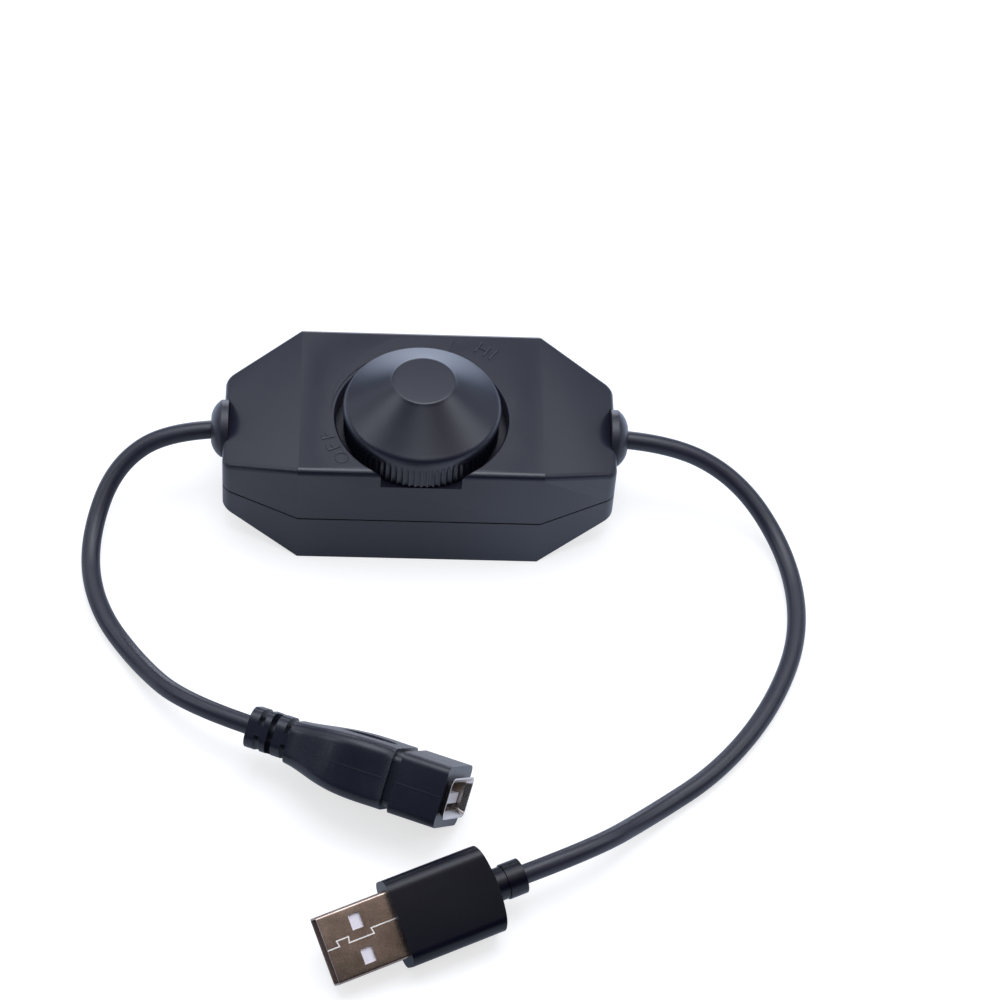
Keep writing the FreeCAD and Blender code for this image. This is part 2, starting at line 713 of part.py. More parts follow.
def make_control_knob():
    """Turned form with a concave flank, hollow below, a hub with a D bore and a fluted skirt."""
    body = new_body("control_knob")
    outline = new_sketch(body, "knob_outline", "XZ_Plane")
    flank_in = ("knob_radius - knob_edge_round", "knob_edge_height + knob_edge_round * 0.45")
    skirt_top = "knob_edge_height - knob_edge_round"
    roof = "(knob_height - knob_wall)"
    corners = [
        ("0", "knob_height"),
        ("knob_flat_radius", "knob_height"),
        flank_in,
        ("knob_radius", skirt_top),
        ("knob_radius - knob_band_depth", skirt_top + " - knob_band_depth"),
        ("knob_radius - knob_band_depth", "0"),
        ("knob_radius - knob_wall", "0"),
        ("knob_radius - knob_wall", "knob_edge_height - knob_wall"),
        ("knob_hub_radius + knob_wall / 2", roof),
        ("knob_hub_radius", roof),
        ("knob_hub_radius", "knob_hub_recess"),
        ("0", "knob_hub_recess"),
    ]
    places = [Vector(number(x), number(y), 0) for x, y in corners]
    count = len(corners)
    curved = {1: -cell("knob_flank_sag"), 2: cell("knob_edge_round") * 0.22}
    for i in range(count):
        start, end = places[i], places[(i + 1) % count]
        if i in curved:
            along = (end - start).normalize()
            outward = Vector(-along.y, along.x, 0)
            bow = (start + end) / 2 + outward * curved[i]
            sketch_arc(outline, start, bow, end)
        else:
            outline.addGeometry(Part.LineSegment(start, end), False)
    for i in range(count):
        tail, head = arc_ends(outline, i)[1], arc_ends(outline, (i + 1) % count)[0]
        outline.addConstraint(Sketcher.Constraint("Coincident", i, tail, (i + 1) % count, head))
        pin_point(outline, i, arc_ends(outline, i)[0], *corners[i])
    for i in curved:
        radius = outline.Geometry[i].Radius
        outline.addConstraint(Sketcher.Constraint("Radius", i, radius))
    revolve(body, outline)

    bore = new_sketch(body, "knob_bore", "XY_Plane", "knob_hub_recess")
    d_section(bore, "shaft_diameter / 2 + bore_gap", "shaft_flat - bore_gap")
    pocket(body, bore, "knob_bore_depth", reverse=True)

    # One flute, leaning outwards so that it runs out in an arch below the rim
    flute = body.newObject("PartDesign::SubtractiveCylinder", "flute")
    flute.setExpression("Radius", formula("flute_radius"))
    flute.setExpression("Height", formula("flute_height + flute_radius"))
    lean = math.degrees(math.atan2(cell("flute_depth"), cell("flute_height")))
    reach = cell("knob_radius") - cell("knob_band_depth") - cell("flute_depth") + cell("flute_radius")
    flute.AttachmentSupport = [(origin_plane(body, "XY_Plane"), "")]
    flute.MapMode = "FlatFace"
    flute.AttachmentOffset = Placement(Vector(reach, 0, -1e-3), Rotation(Vector(0, 1, 0), lean))
    doc.recompute()
    ring = body.newObject("PartDesign::PolarPattern", "flutes")
    ring.Originals = [flute]
    ring.Axis = ([item for item in body.Origin.OriginFeatures if item.Role == "Z_Axis"][0], [""])
    ring.Angle = 360
    ring.setExpression("Occurrences", formula("flute_count"))
    body.Tip = ring
    doc.recompute()
    body.setExpression("Placement.Base.y", formula("well_y"))
    body.setExpression("Placement.Base.z", formula("well_floor + knob_clearance"))
    doc.recompute()


def sketch_arc(sketch, start, bow, end):
    """An arc through three points of a sketch."""
    edge = Part.Arc(start, bow, end).toShape()
    curve = edge.Curve
    centre = curve.Center
    angles = [math.atan2(p.y - centre.y, p.x - centre.x) for p in (start, bow, end)]
    sweep = (angles[2] - angles[0]) % (2 * math.pi)
    passes = (angles[1] - angles[0]) % (2 * math.pi)
    first, last = (angles[0], angles[2]) if passes < sweep else (angles[2], angles[0])
    ring = Part.Circle(centre, Vector(0, 0, 1), curve.Radius)
    index = sketch.addGeometry(Part.ArcOfCircle(ring, first, last), False)
    arc_turns[(sketch.Name, index)] = passes < sweep
    return index


arc_turns = {}


def arc_ends(sketch, index):
    """Which end of a sketch's curve comes first and which last along the outline."""
    return (1, 2) if arc_turns.get((sketch.Name, index), True) else (2, 1)


def d_section(sketch, radius, flat):
    """A round section with one flat side towards -Y."""
    level = "(-(%s) + (%s))" % (radius, flat)
    half = "sqrt((%s) ^ 2 - %s ^ 2)" % (radius, level)
    start = math.atan2(number(level), number(half))
    ring = Part.Circle(Vector(0, 0, 0), Vector(0, 0, 1), number(radius))
    sketch.addGeometry(Part.ArcOfCircle(ring, start, math.pi - start), False)
    left, right = Vector(-number(half), number(level), 0), Vector(number(half), number(level), 0)
    sketch.addGeometry(Part.LineSegment(left, right), False)
    sketch.addConstraint(Sketcher.Constraint("Coincident", 0, 1, 1, 2))
    sketch.addConstraint(Sketcher.Constraint("Coincident", 0, 2, 1, 1))
    pin_point(sketch, 1, 1, "-" + half, level)
    pin_point(sketch, 1, 2, half, level)
    held = sketch.addConstraint(Sketcher.Constraint("Radius", 0, number(radius)))
    sketch.setExpression("Constraints[%d]" % held, formula(radius))


def at_control(body):
    """Puts a body's axis on the knob's axis."""
    body.setExpression("Placement.Base.y", formula("well_y"))
    doc.recompute()


def control_levels():
    """Levels of the rotary control, from the well's floor that it hangs on downwards."""
    plate = cell("well_floor") - cell("well_wall")
    can_top = plate - cell("plate_thickness")
    can_bottom = can_top - cell("can_height")
    wafer = can_top - cell("wafer_thickness")
    rotor = wafer - cell("wiper_rise") - cell("rotor_thickness") - cell("shaft_clearance")
    return {"plate": plate, "can_top": can_top, "can_bottom": can_bottom, "wafer": wafer, "rotor": rotor}


def make_rotary_control():
    level = control_levels()
    y = cell("well_y")
    radius = cell("control_diameter") / 2
    shaft = cell("shaft_diameter") / 2
    running = shaft + cell("shaft_clearance")
    gap = cell("shaft_clearance")
    tab = cell("terminal_reach")
    tab_half = cell("terminal_pitch") + cell("terminal_width") * 1.3

    # Front plate and threaded bush, one pressed piece with its turn stop
    body = new_body("control_bush")
    profile = new_sketch(body, "bush_outline", "XZ_Plane")
    under = "(well_floor - well_wall - plate_thickness)"
    top = "(well_floor + bush_top)"
    polygon(profile, [
        ("shaft_diameter / 2 + shaft_clearance", under), ("control_diameter / 2", under),
        ("control_diameter / 2", "well_floor - well_wall"), ("bush_diameter / 2", "well_floor - well_wall"),
        ("bush_diameter / 2", top), ("shaft_diameter / 2 + shaft_clearance", top)])
    revolve(body, profile)
    stop = new_sketch(body, "turn_stop", "XY_Plane", "well_floor - well_wall")
    rectangle(stop, "turn_stop_radius", "0", "turn_stop_thickness", "turn_stop_width")
    pad(body, stop, "turn_stop_thickness")
    at_control(body)

    # Metal can, open to the back for the wafer's tab
    wall = cell("can_wall")
    can = upright(radius, level["can_bottom"], level["can_top"], 0, y)
    can = can.cut(upright(radius - wall, level["can_bottom"] + wall, level["can_top"], 0, y))
    notch_half = tab_half + wall
    notch = block(-notch_half, notch_half, y, y + radius + wall, level["wafer"] - wall * 2, level["can_top"])
    solid_feature("control_can", can.cut(notch))

    # Resistive wafer with its terminal tab
    wafer = upright(radius - wall - gap, level["wafer"], level["can_top"], 0, y)
    wafer = wafer.fuse(block(-tab_half, tab_half, y, y + tab, level["wafer"], level["can_top"]))
    wafer = wafer.cut(upright(running + wall, level["wafer"], level["can_top"], 0, y)).removeSplitter()
    solid_feature("control_wafer", wafer)

    # Switch at the back of the can
    low = level["can_bottom"] - cell("switch_height")
    switch = upright(cell("switch_diameter") / 2, low, level["can_bottom"], 0, y)
    ear = cell("switch_diameter") / 2 * 0.94
    switch = switch.common(block(-ear, ear, y - ear, y + ear, low, level["can_bottom"]))
    solid_feature("control_switch", switch)

    # Three terminals down from the wafer's tab and two pins down from the switch
    half, thick = cell("terminal_width") / 2, cell("terminal_thickness")
    foot = cell("board_height") - thick * 2
    terminals = []
    for step in (-1, 0, 1):
        x = step * cell("terminal_pitch")
        under = level["wafer"] - thick
        lie = block(x - half, x + half, y + tab - half * 3, y + tab + thick, under, level["wafer"])
        leg = block(x - half * 0.6, x + half * 0.6, y + tab, y + tab + thick, foot, level["wafer"])
        terminals.append(lie.fuse(leg).removeSplitter())
    for step in (-0.5, 0.5):
        x = step * cell("switch_pin_pitch")
        terminals.append(block(x - half * 0.6, x + half * 0.6, y - thick / 2, y + thick / 2, foot, low))
    solid_feature("control_terminals", Part.makeCompound(terminals))

    # Rotor with the switch's driving nub, and the wiper spring on it
    rotor_radius = cell("rotor_diameter") / 2
    rotor = upright(rotor_radius, level["rotor"], level["rotor"] + cell("rotor_thickness"), 0, y)
    nub_x = cell("rotor_diameter") / 2 - thick * 3
    nub = upright(thick * 2, level["rotor"] - thick * 2, level["rotor"], nub_x, y)
    hole = upright(shaft + cell("bore_gap"), level["rotor"] - thick * 2, level["plate"], 0, y)
    solid_feature("control_rotor", rotor.fuse(nub).cut(hole).removeSplitter())
    spring_low = level["rotor"] + cell("rotor_thickness")
    outer, inner = cell("rotor_diameter") / 2 * 0.86, cell("rotor_diameter") / 2 * 0.523
    sheet_t = cell("wiper_thickness")
    spring = upright(outer, spring_low, spring_low + sheet_t, 0, y)
    spring = spring.cut(upright(inner, spring_low, level["plate"], 0, y))
    spring = spring.common(block(-outer, outer, y - outer * 0.45, y + outer, spring_low, level["plate"]))
    for x in (-1, 1):
        finger = block(-half, half, 0, thick * 2, spring_low, spring_low + cell("wiper_rise"))
        finger.translate(Vector(x * outer * 0.5, y + outer * 0.6, 0))
        spring = spring.fuse(finger)
    solid_feature("control_wiper", spring.removeSplitter())

    # Shaft with its flat, from the rotor up into the knob's hub
    body = new_body("control_shaft")
    base = "(well_floor - well_wall - plate_thickness - wafer_thickness - wiper_rise - rotor_thickness)"
    foot_sketch = new_sketch(body, "shaft_section", "XY_Plane", base)
    circle(foot_sketch, "0", "0", "shaft_diameter / 2")
    hub = "(well_floor + knob_clearance + knob_hub_recess)"
    pad(body, foot_sketch, hub + " - " + base)
    head_sketch = new_sketch(body, "shaft_flat_section", "XY_Plane", hub)
    d_section(head_sketch, "shaft_diameter / 2", "shaft_flat")
    pad(body, head_sketch, "knob_bore_depth - shaft_flat / 2")
    at_control(body)

    # Washer and nut in the well, under the hollow knob
    body = new_body("control_washer")
    flat = new_sketch(body, "washer_section", "XY_Plane", "well_floor")
    circle(flat, "0", "0", "washer_diameter / 2")
    circle(flat, "0", "0", "bush_diameter / 2 + bore_gap")
    pad(body, flat, "washer_thickness")
    at_control(body)
    body = new_body("control_nut")
    hexagon = new_sketch(body, "nut_section", "XY_Plane", "well_floor + washer_thickness")
    across = "(nut_flats / sqrt(3))"
    polygon(hexagon, [
        (across, "0"), (across + " / 2", "nut_flats / 2"), ("-" + across + " / 2", "nut_flats / 2"),
        ("-" + across, "0"), ("-" + across + " / 2", "-nut_flats / 2"), (across + " / 2", "-nut_flats / 2")])
    circle(hexagon, "0", "0", "bush_diameter / 2 + bore_gap")
    pad(body, hexagon, "nut_thickness")
    at_control(body)


def make_circuit_board():
    """Board with necked ends that clear the screw bosses, and holes for posts, pins and leads."""
    body = new_body("circuit_board")
    plan = new_sketch(body, "board_plan", "XY_Plane", "board_height")
    x0, x1 = "(board_centre_length / 2)", "(board_length / 2)"
    y0, y1 = "(board_neck_width / 2)", "(board_width / 2)"
    quarter = [(x1, y0), (x0, y0), (x0, y1)]
    half = quarter + [("-" + x, y) for x, y in reversed(quarter)]
    polygon(plan, half + [(x, "-" + y) for x, y in reversed(half)])
    pad(body, plan, "board_thickness")
    holes = new_sketch(body, "board_holes", "XY_Plane", "board_height + board_thickness")
    for x, y in post_places():
        circle(holes, x, y, "post_pin_diameter / 2 + grommet_fit")
    for step in ("-terminal_pitch", "0", "terminal_pitch"):
        circle(holes, step, "well_y + terminal_reach + terminal_thickness / 2", "terminal_width * 0.6")
    for step in ("-switch_pin_pitch / 2", "switch_pin_pitch / 2"):
        circle(holes, step, "well_y", "terminal_width * 0.6")
    pocket(body, holes, "board_thickness * 2")


def board_part(label, pieces):
    shape = pieces[0]
    for piece in pieces[1:]:
        shape = shape.fuse(piece)
    solid_feature(label, shape.removeSplitter())


def on_neck(label):
    """Place of a part on the board's long middle strip."""
    along, across = NECK_PLACES[label]
    return cell("board_length") / 2 * along, cell("board_neck_width") / 2 * across


def on_centre(label):
    """Places of the like parts on the board's wide centre."""
    half_x, half_y = cell("board_centre_length") / 2, cell("board_width") / 2
    return [(half_x * along, half_y * across) for along, across in CENTRE_PLACES[label]]


def package(kind, x, y):
    """The moulded body of a part on the board."""
    base = cell("board_height") + cell("board_thickness")
    half_x, half_y = cell(kind + "_length") / 2, cell(kind + "_width") / 2
    top = base + cell(kind + "_height")
    return block(x - half_x, x + half_x, y - half_y, y + half_y, base + cell("package_lift"), top)


def make_board_parts():
    base = cell("board_height") + cell("board_thickness")
    lift, thin = cell("package_lift"), cell("leg_thickness")
    reach, leg_half = cell("leg_reach"), cell("leg_width") / 2

    # Power transistor: body, heat tab under it and to the back, two legs to the front
    x, y = on_neck("power_transistor")
    tab_half, body_half = cell("transistor_tab") / 2, cell("transistor_width") / 2
    pieces = [package("transistor", x, y)]
    pieces.append(block(x - tab_half, x + tab_half, y - body_half * 0.9, y + body_half + reach, base,
                        base + lift * 2))
    for side in (-1, 1):
        leg_x = x + side * tab_half * 0.85
        pieces.append(block(leg_x - leg_half, leg_x + leg_half, y - body_half - reach, y - body_half * 0.8,
                            base, base + lift * 2))
    board_part("power_transistor", pieces)

    # Control chip with four flat gull legs along each long side
    x, y = on_neck("control_chip")
    body_half = cell("chip_width") / 2
    pieces = [package("chip", x, y)]
    for step in (-1.5, -0.5, 0.5, 1.5):
        leg_x = x + step * cell("leg_pitch")
        pieces.append(block(leg_x - leg_half, leg_x + leg_half, y - body_half - reach, y - body_half + lift,
                            base, base + thin))
        pieces.append(block(leg_x - leg_half, leg_x + leg_half, y + body_half - lift, y + body_half + reach,
                            base, base + thin))
    board_part("control_chip", pieces)

    # Flyback diode on one flat strip that shows at both ends
    x, y = on_centre("flyback_diode")[0]
    half_x, half_y = cell("diode_length") / 2, cell("diode_strip") / 2
    reach = half_x + thin * 2
    strip = block(x - reach, x + reach, y - half_y, y + half_y, base, base + lift * 2)
    board_part("flyback_diode", [package("diode", x, y), strip])

    # Bare chips that lie flat on the board
    for kind, label in (("resistor", "chip_resistors"), ("chip_capacitor", "chip_capacitors")):
        half_x, half_y = cell(kind + "_length") / 2, cell(kind + "_width") / 2
        top = base + cell(kind + "_height")
        chips = [block(x - half_x, x + half_x, y - half_y, y + half_y, base, top)
                 for x, y in on_centre(label)]
        solid_feature(label, Part.makeCompound(chips))

    # Standing electrolytic capacitor with its crimped neck
    body = new_body("filter_capacitor")
    outline = new_sketch(body, "capacitor_outline", "XZ_Plane")
    r = "capacitor_diameter / 2"
    polygon(outline, [
        ("0", "0"), (r, "0"), (r, "capacitor_height * 0.12"), (r + " * 0.88", "capacitor_height * 0.17"),
        (r, "capacitor_height * 0.22"), (r, "capacitor_height - capacitor_edge"),
        (r + " - capacitor_edge", "capacitor_height"), ("0", "capacitor_height")])
    revolve(body, outline)
    body.Placement.Base = Vector(*on_neck("filter_capacitor"), 0)
    body.setExpression("Placement.Base.z", formula("board_height + board_thickness"))
    doc.recompute()


def laid(route, side):
    """A cord's route in the common frame; side tells at which end of the case it leaves."""
    end = cell("length") / 2
    return [(side * (end + number(str(out))), back, number(str(level))) for out, back, level in route]


def route_wire(points):
    """Straight runs joined by tangent arcs that are as large as the runs allow."""
    points = [Vector(*point) for point in points]
    edges, start, radii = [], points[0], []
    for i in range(1, len(points) - 1):
        back, ahead = points[i - 1] - points[i], points[i + 1] - points[i]
        reach = ARC_SHARE * min(back.Length, ahead.Length)
        turn = math.pi - back.getAngle(ahead)
        radius = reach / math.tan(turn / 2)
        radii.append(radius)
        one, two = Vector(back).normalize(), Vector(ahead).normalize()
        enter, leave = points[i] + one * reach, points[i] + two * reach
        inward = (one + two).normalize()
        middle = points[i] + inward * (radius / math.cos(turn / 2) - radius)
        edges.append(Part.LineSegment(start, enter).toShape())
        edges.append(Part.Arc(enter, middle, leave).toShape())
        start = leave
    edges.append(Part.LineSegment(start, points[-1]).toShape())
    return Part.Wire(edges), radii


def make_cord(label, points, diameter):
    """A tube along a route, tested against its section times its length."""
    wire, radii = route_wire(points)
    start = Vector(*points[0])
    along = Vector(*points[1]) - start
    section = Part.Wire(Part.makeCircle(diameter / 2, start, along))
    tube = wire.makePipeShell([section], True, False)
    expected = math.pi * diameter ** 2 / 4 * wire.Length
    runs = [(Vector(*b) - Vector(*a)).Length for a, b in zip(points, points[1:])]
    print(label, "length %.1f" % wire.Length, "volume ratio %.4f" % (tube.Volume / expected),
          "runs", ["%.1f" % run for run in runs], "radii", ["%.1f" % radius for radius in radii])
    solid_feature(label, tube)
    return wire.Length


def make_leads():
    """Two insulated leads from each cord's jacket down to the board."""
    base = cell("board_height") + cell("board_thickness")
    apart = cell("lead_spacing") / 2
    level = cell("cord_height")
    pad_x = cell("board_length") / 2 - cell("lead_pad_inset")
    start = cell("jacket_start")
    span = start - pad_x
    drop = level - base
    for cord, side in (("output", -1), ("input", 1)):
        for colour, way in (("red", 1), ("black", -1)):
            points = [
                (side * start, way * apart, level),
                (side * (start - span * 0.36), way * apart * 1.1, level - drop * 0.01),
                (side * (pad_x + span * 0.26), way * apart * 1.8, level - drop * 0.25),
                (side * pad_x, way * apart * 2.4, base + drop * 0.4),
                (side * pad_x, way * apart * 2.4, base),
            ]
            make_cord("%s_lead_%s" % (cord, colour), points, cell("lead_diameter"))


def make_grommets():
    """Mushroom-shaped grommet: domed cap, neck in the case's wall and a square inner collar."""
    half = cell("length") / 2
    level = cell("cord_height")
    seat = half + cell("grommet_stand_off")
    flange, neck = cell("grommet_cap") / 2, cell("grommet_neck") / 2
    edge_x = seat + cell("grommet_edge")
    crest = edge_x + cell("grommet_dome")
    mouth = cell("grommet_mouth") / 2
    inner = half - cell("wall") - cell("grommet_fit")
    bore = cell("cord_diameter") / 2 + cell("bore_gap")
    start, end = Vector(edge_x, 0, flange), Vector(crest, 0, mouth)
    bow = Vector(edge_x + cell("grommet_dome") * 0.68, 0, mouth + (flange - mouth) * 0.52)
    back = inner - cell("grommet_collar_thickness")
    lines = [
        Vector(crest, 0, mouth), Vector(crest, 0, bore), Vector(back, 0, bore), Vector(back, 0, neck),
        Vector(seat, 0, neck), Vector(seat, 0, flange), Vector(edge_x, 0, flange),
    ]
    edges = [Part.LineSegment(a, b).toShape() for a, b in zip(lines, lines[1:])]
    edges.append(Part.Arc(start, bow, end).toShape())
    turned = Part.Face(Part.Wire(Part.__sortEdges__(edges))).revolve(Vector(0, 0, 0), Vector(1, 0, 0), 360)
    wide, drop = cell("grommet_collar_width") / 2, cell("grommet_collar_drop")
    collar = block(back, inner, -wide, wide, -drop, cell("grommet_collar_rise"))
    collar = collar.cut(Part.makeCylinder(bore, half, Vector(0, 0, 0), Vector(1, 0, 0)))
    grommet = turned.fuse(collar).removeSplitter()
    for label, turn in (("right_grommet", 0), ("left_grommet", 180)):
        place = Placement(Vector(0, 0, level), Rotation(Vector(0, 0, 1), turn))
        solid_feature(label, grommet.copy(), place)


def end_piece_placement(prefix, route):
    """Where a moulded end piece sits: its rear on the cord's last point, turned as it lies."""
    turn = Rotation(Vector(0, 0, 1), cell(prefix + "_yaw"))
    if prefix + "_pitch" in SIZES:
        turn = turn.multiply(Rotation(Vector(0, 1, 0), cell(prefix + "_pitch")))
    turn = turn.multiply(Rotation(Vector(1, 0, 0), cell(prefix + "_roll")))
    return Placement(Vector(*route[-1]), turn)


def rounded_section(width, thickness, radius, x):
    """A rounded rectangle across the X axis."""
    w, h, r = width / 2, thickness / 2, radius
    c = r * (1 - math.sqrt(0.5))
    edges = []
    right = [(w - r, h), (w, h - r), (w, r - h), (w - r, -h)]
    ring = right + [(-y, z) for y, z in reversed(right)]
    bows = {0: (w - c, h - c), 2: (w - c, c - h), 4: (c - w, c - h), 6: (c - w, h - c)}
    for i in range(8):
        a, b = ring[i], ring[(i + 1) % 8]
        a3, b3 = Vector(x, a[0], a[1]), Vector(x, b[0], b[1])
        if i in bows:
            edges.append(Part.Arc(a3, Vector(x, *bows[i]), b3).toShape())
        else:
            edges.append(Part.LineSegment(a3, b3).toShape())
    return Part.Wire(edges)


def rounded_bar(width, thickness, radius, x0, x1):
    return Part.Face(rounded_section(width, thickness, radius, x0)).extrude(Vector(x1 - x0, 0, 0))


def make_plug():
    place = end_piece_placement("plug", laid(INPUT_ROUTE, 1))
    relief = cell("plug_relief_length")
    front = relief + cell("plug_grip_length")
    tip = front + cell("plug_metal_length")
    hold = front - cell("plug_metal_hold")
    metal_w, metal_t = cell("plug_metal_width"), cell("plug_metal_thickness")
    wall, metal_r = cell("plug_metal_wall"), cell("plug_metal_round")

    # Moulded grip with a bulging rear end, its strain relief and the seat of the metal shell
    width, thick = cell("plug_grip_width"), cell("plug_grip_thickness")
    bulge = cell("plug_rear_bulge")
    grip = rounded_bar(width, thick, cell("plug_grip_round"), relief - bulge, front)
    bend = (width ** 2 / 4 + bulge ** 2) / (2 * bulge)
    rear = Part.makeCylinder(bend, thick * 2, Vector(relief - bulge + bend, 0, -thick), Vector(0, 0, 1))
    grip = grip.common(rear.fuse(block(relief, front, -width, width, -thick, thick)))
    tube = Part.makeCylinder(cell("plug_relief_diameter") / 2, relief, Vector(0, 0, 0), Vector(1, 0, 0))
    ring = Part.makeCylinder(cell("plug_ring_diameter") / 2, cell("plug_ring_length"), Vector(0, 0, 0),
                             Vector(1, 0, 0))
    grip = grip.fuse(tube).fuse(ring).removeSplitter()
    solid_feature("plug_grip", grip.cut(rounded_bar(metal_w, metal_t, metal_r, hold, front)), place)

    # Folded metal shell with four windows and the dovetailed seam of its fold
    shell = rounded_bar(metal_w, metal_t, metal_r, hold, tip)
    shell = shell.cut(rounded_bar(metal_w - wall * 2, metal_t - wall * 2, metal_r - wall, hold, tip))
    w_back = tip - cell("window_setback") - cell("window_length")
    w_half = cell("window_width") / 2
    w_front = w_back + cell("window_length")
    for side in (-1, 1):
        y = side * cell("window_offset")
        shell = shell.cut(block(w_back, w_front, y - w_half, y + w_half, -metal_t, metal_t))
    step = metal_w * 0.085
    dovetail = [
        (tip, 0), (tip - 2.2, 0), (tip - 2.0, -step), (tip - 4.2, -step), (tip - 4.0, 0), (tip - 8.6, 0),
        (tip - 8.4, -step), (front - wall, -step), (hold, -step),
    ]
    slit = cell("seam_width") / 2
    for (xa, ya), (xb, yb) in zip(dovetail, dovetail[1:]):
        run = Vector(xb - xa, yb - ya, 0)
        cut = block(-slit, run.Length + slit, -slit, slit, metal_t / 2 - wall * 1.5, metal_t)
        angle = math.degrees(math.atan2(run.y, run.x))
        cut.Placement = Placement(Vector(xa, ya, 0), Rotation(Vector(0, 0, 1), angle))
        shell = shell.cut(cut)
    solid_feature("plug_shell", shell, place)

    # White insulator under the seamed face, with the contact strips on its other side
    inner_w, inner_top = metal_w / 2 - wall - 0.05, metal_t / 2 - wall - 0.05
    face = 0.1
    tongue = block(hold, tip - 0.4, -inner_w, inner_w, face, inner_top)
    tongue = tongue.fuse(block(hold, hold + 2.0, -inner_w, inner_w, -inner_top, inner_top)).removeSplitter()
    solid_feature("plug_tongue", tongue, place)
    half = cell("contact_width") / 2
    near, far = cell("contact_inner"), cell("contact_outer")
    strips = [block(hold + 2.0, tip - reach, y - half, y + half, face - cell("contact_thickness"), face)
              for y, reach in ((-far, 1.2), (-near, 2.2), (near, 2.2), (far, 1.2))]
    solid_feature("plug_contacts", Part.makeCompound(strips), place)


def make_socket():
    place = end_piece_placement("socket", laid(OUTPUT_ROUTE, -1))
    width, thick, corner = cell("socket_width"), cell("socket_thickness"), cell("socket_round")
    ring_w, ring_t = cell("relief_ring_width"), cell("relief_ring_thickness")
    drop = Vector(0, 0, -cell("socket_offset"))
    metal_place = place.multiply(Placement(drop, Rotation()))

    # Laddered strain relief: three rings on a core, bridged by turns on the sides and the faces
    gap, bridge = cell("relief_gap"), cell("relief_bridge") / 2
    reach, rings = 0.0, []
    for name in ("relief_end_ring", "relief_middle_ring", "relief_front_ring"):
        rings.append((reach, reach + cell(name)))
        reach += cell(name) + gap
    core = cell("relief_core_diameter") / 2
    grip = Part.makeCylinder(core, reach + gap, Vector(0, 0, 0), Vector(1, 0, 0))
    for i, (x0, x1) in enumerate(rings):
        grip = grip.fuse(rounded_bar(ring_w, ring_t, cell("relief_round"), x0, x1))
        if i == 1:
            grip = grip.fuse(block(x1, x1 + gap, -bridge, bridge, -ring_t / 2, ring_t / 2))
        else:
            grip = grip.fuse(block(x1, x1 + gap, -ring_w / 2, ring_w / 2, -bridge, bridge))

    # Waisted grip, lofted from the small rear section to the full section
    length = cell("socket_grip_length")
    full = reach + length
    rear_w, rear_t = cell("socket_rear_width"), cell("socket_rear_thickness")
    sections = []
    for share, wide, deep in SOCKET_WAIST:
        section = rounded_section(rear_w + (width - rear_w) * wide, rear_t + (thick - rear_t) * deep,
                                  corner * 1.3, reach + length * share)
        section.translate(drop * (0.5 + 0.5 * deep))
        sections.append(section)
    grip = grip.fuse(Part.makeLoft(sections, True, False))
    block_start = full + cell("socket_groove_length")
    mouth = block_start + cell("socket_block_length")
    cut = cell("socket_groove_depth") * 2
    front = rounded_bar(width - cut, thick - cut, corner, full, block_start)
    front = front.fuse(rounded_bar(width, thick, corner, block_start, mouth))
    front.translate(drop)
    grip = grip.fuse(front).removeSplitter()

    # Bare oval recess in one wide face
    half_length, half_width, depth = cell("oval_length") / 2, cell("oval_width") / 2, cell("oval_depth")
    oval = Part.makeCylinder(1.0, depth * 2, Vector(0, 0, 0), Vector(0, 0, 1))
    stretch = FreeCAD.Matrix()
    stretch.scale(half_length, half_width, 1)
    oval = oval.transformGeometry(stretch)
    oval.translate(Vector(full - half_length - cell("oval_setback"), 0, thick / 2 - depth) + drop)
    grip = grip.cut(oval)
    metal_w, metal_t = cell("socket_metal_width"), cell("socket_metal_thickness")
    wall = cell("socket_metal_wall")
    hold = mouth - cell("socket_metal_hold")
    seat = rounded_bar(metal_w, metal_t, wall * 2, hold, mouth)
    seat.translate(drop)
    solid_feature("socket_grip", grip.cut(seat), place)

    # Metal shell with its mouth flared over the front face
    flare, lip = cell("lip_flare"), cell("lip_reach")
    shell = rounded_bar(metal_w, metal_t, wall * 2, hold, mouth)
    lip_end = mouth + lip
    outside = [
        rounded_section(metal_w, metal_t, wall * 2, mouth),
        rounded_section(metal_w + flare * 2, metal_t + flare * 2, wall * 2 + flare, lip_end),
    ]
    lips = Part.makeLoft(outside, True, True)
    space = rounded_bar(metal_w - wall * 2, metal_t - wall * 2, wall, hold, mouth)
    wider = (flare - wall) * 2
    inside = [
        rounded_section(metal_w - wall * 2, metal_t - wall * 2, wall, mouth),
        rounded_section(metal_w + wider, metal_t + wider, wall + flare, lip_end),
    ]
    flared = Part.makeLoft(inside, True, True)
    shell = shell.fuse(lips).removeSplitter().cut(space.fuse(flared))
    solid_feature("socket_shell", shell, metal_place)

    # Insulator: rear block that fills the shell and the tongue in its mouth
    slack = wall + cell("tongue_gap")
    inner_w, inner_t = metal_w / 2 - slack, metal_t / 2 - slack
    tongue_w = inner_w - cell("tongue_inset")
    tongue_low = cell("tongue_drop") - inner_t
    tongue_high = tongue_low + cell("tongue_thickness")
    root = hold + cell("tongue_root")
    body = block(hold, root, -inner_w, inner_w, -inner_t, inner_t)
    front = mouth - cell("tongue_setback")
    body = body.fuse(block(hold, front, -tongue_w, tongue_w, tongue_low, tongue_high))
    solid_feature("socket_tongue", body.removeSplitter(), metal_place)
    half = cell("contact_width") / 2
    above = tongue_high + cell("contact_thickness")
    near, far = cell("contact_inner"), cell("contact_outer")
    strips = [block(root, mouth - cell("contact_setback"), y - half, y + half, tongue_high, above)
              for y in (-far, -near, near, far)]
    solid_feature("socket_contacts", Part.makeCompound(strips), metal_place)


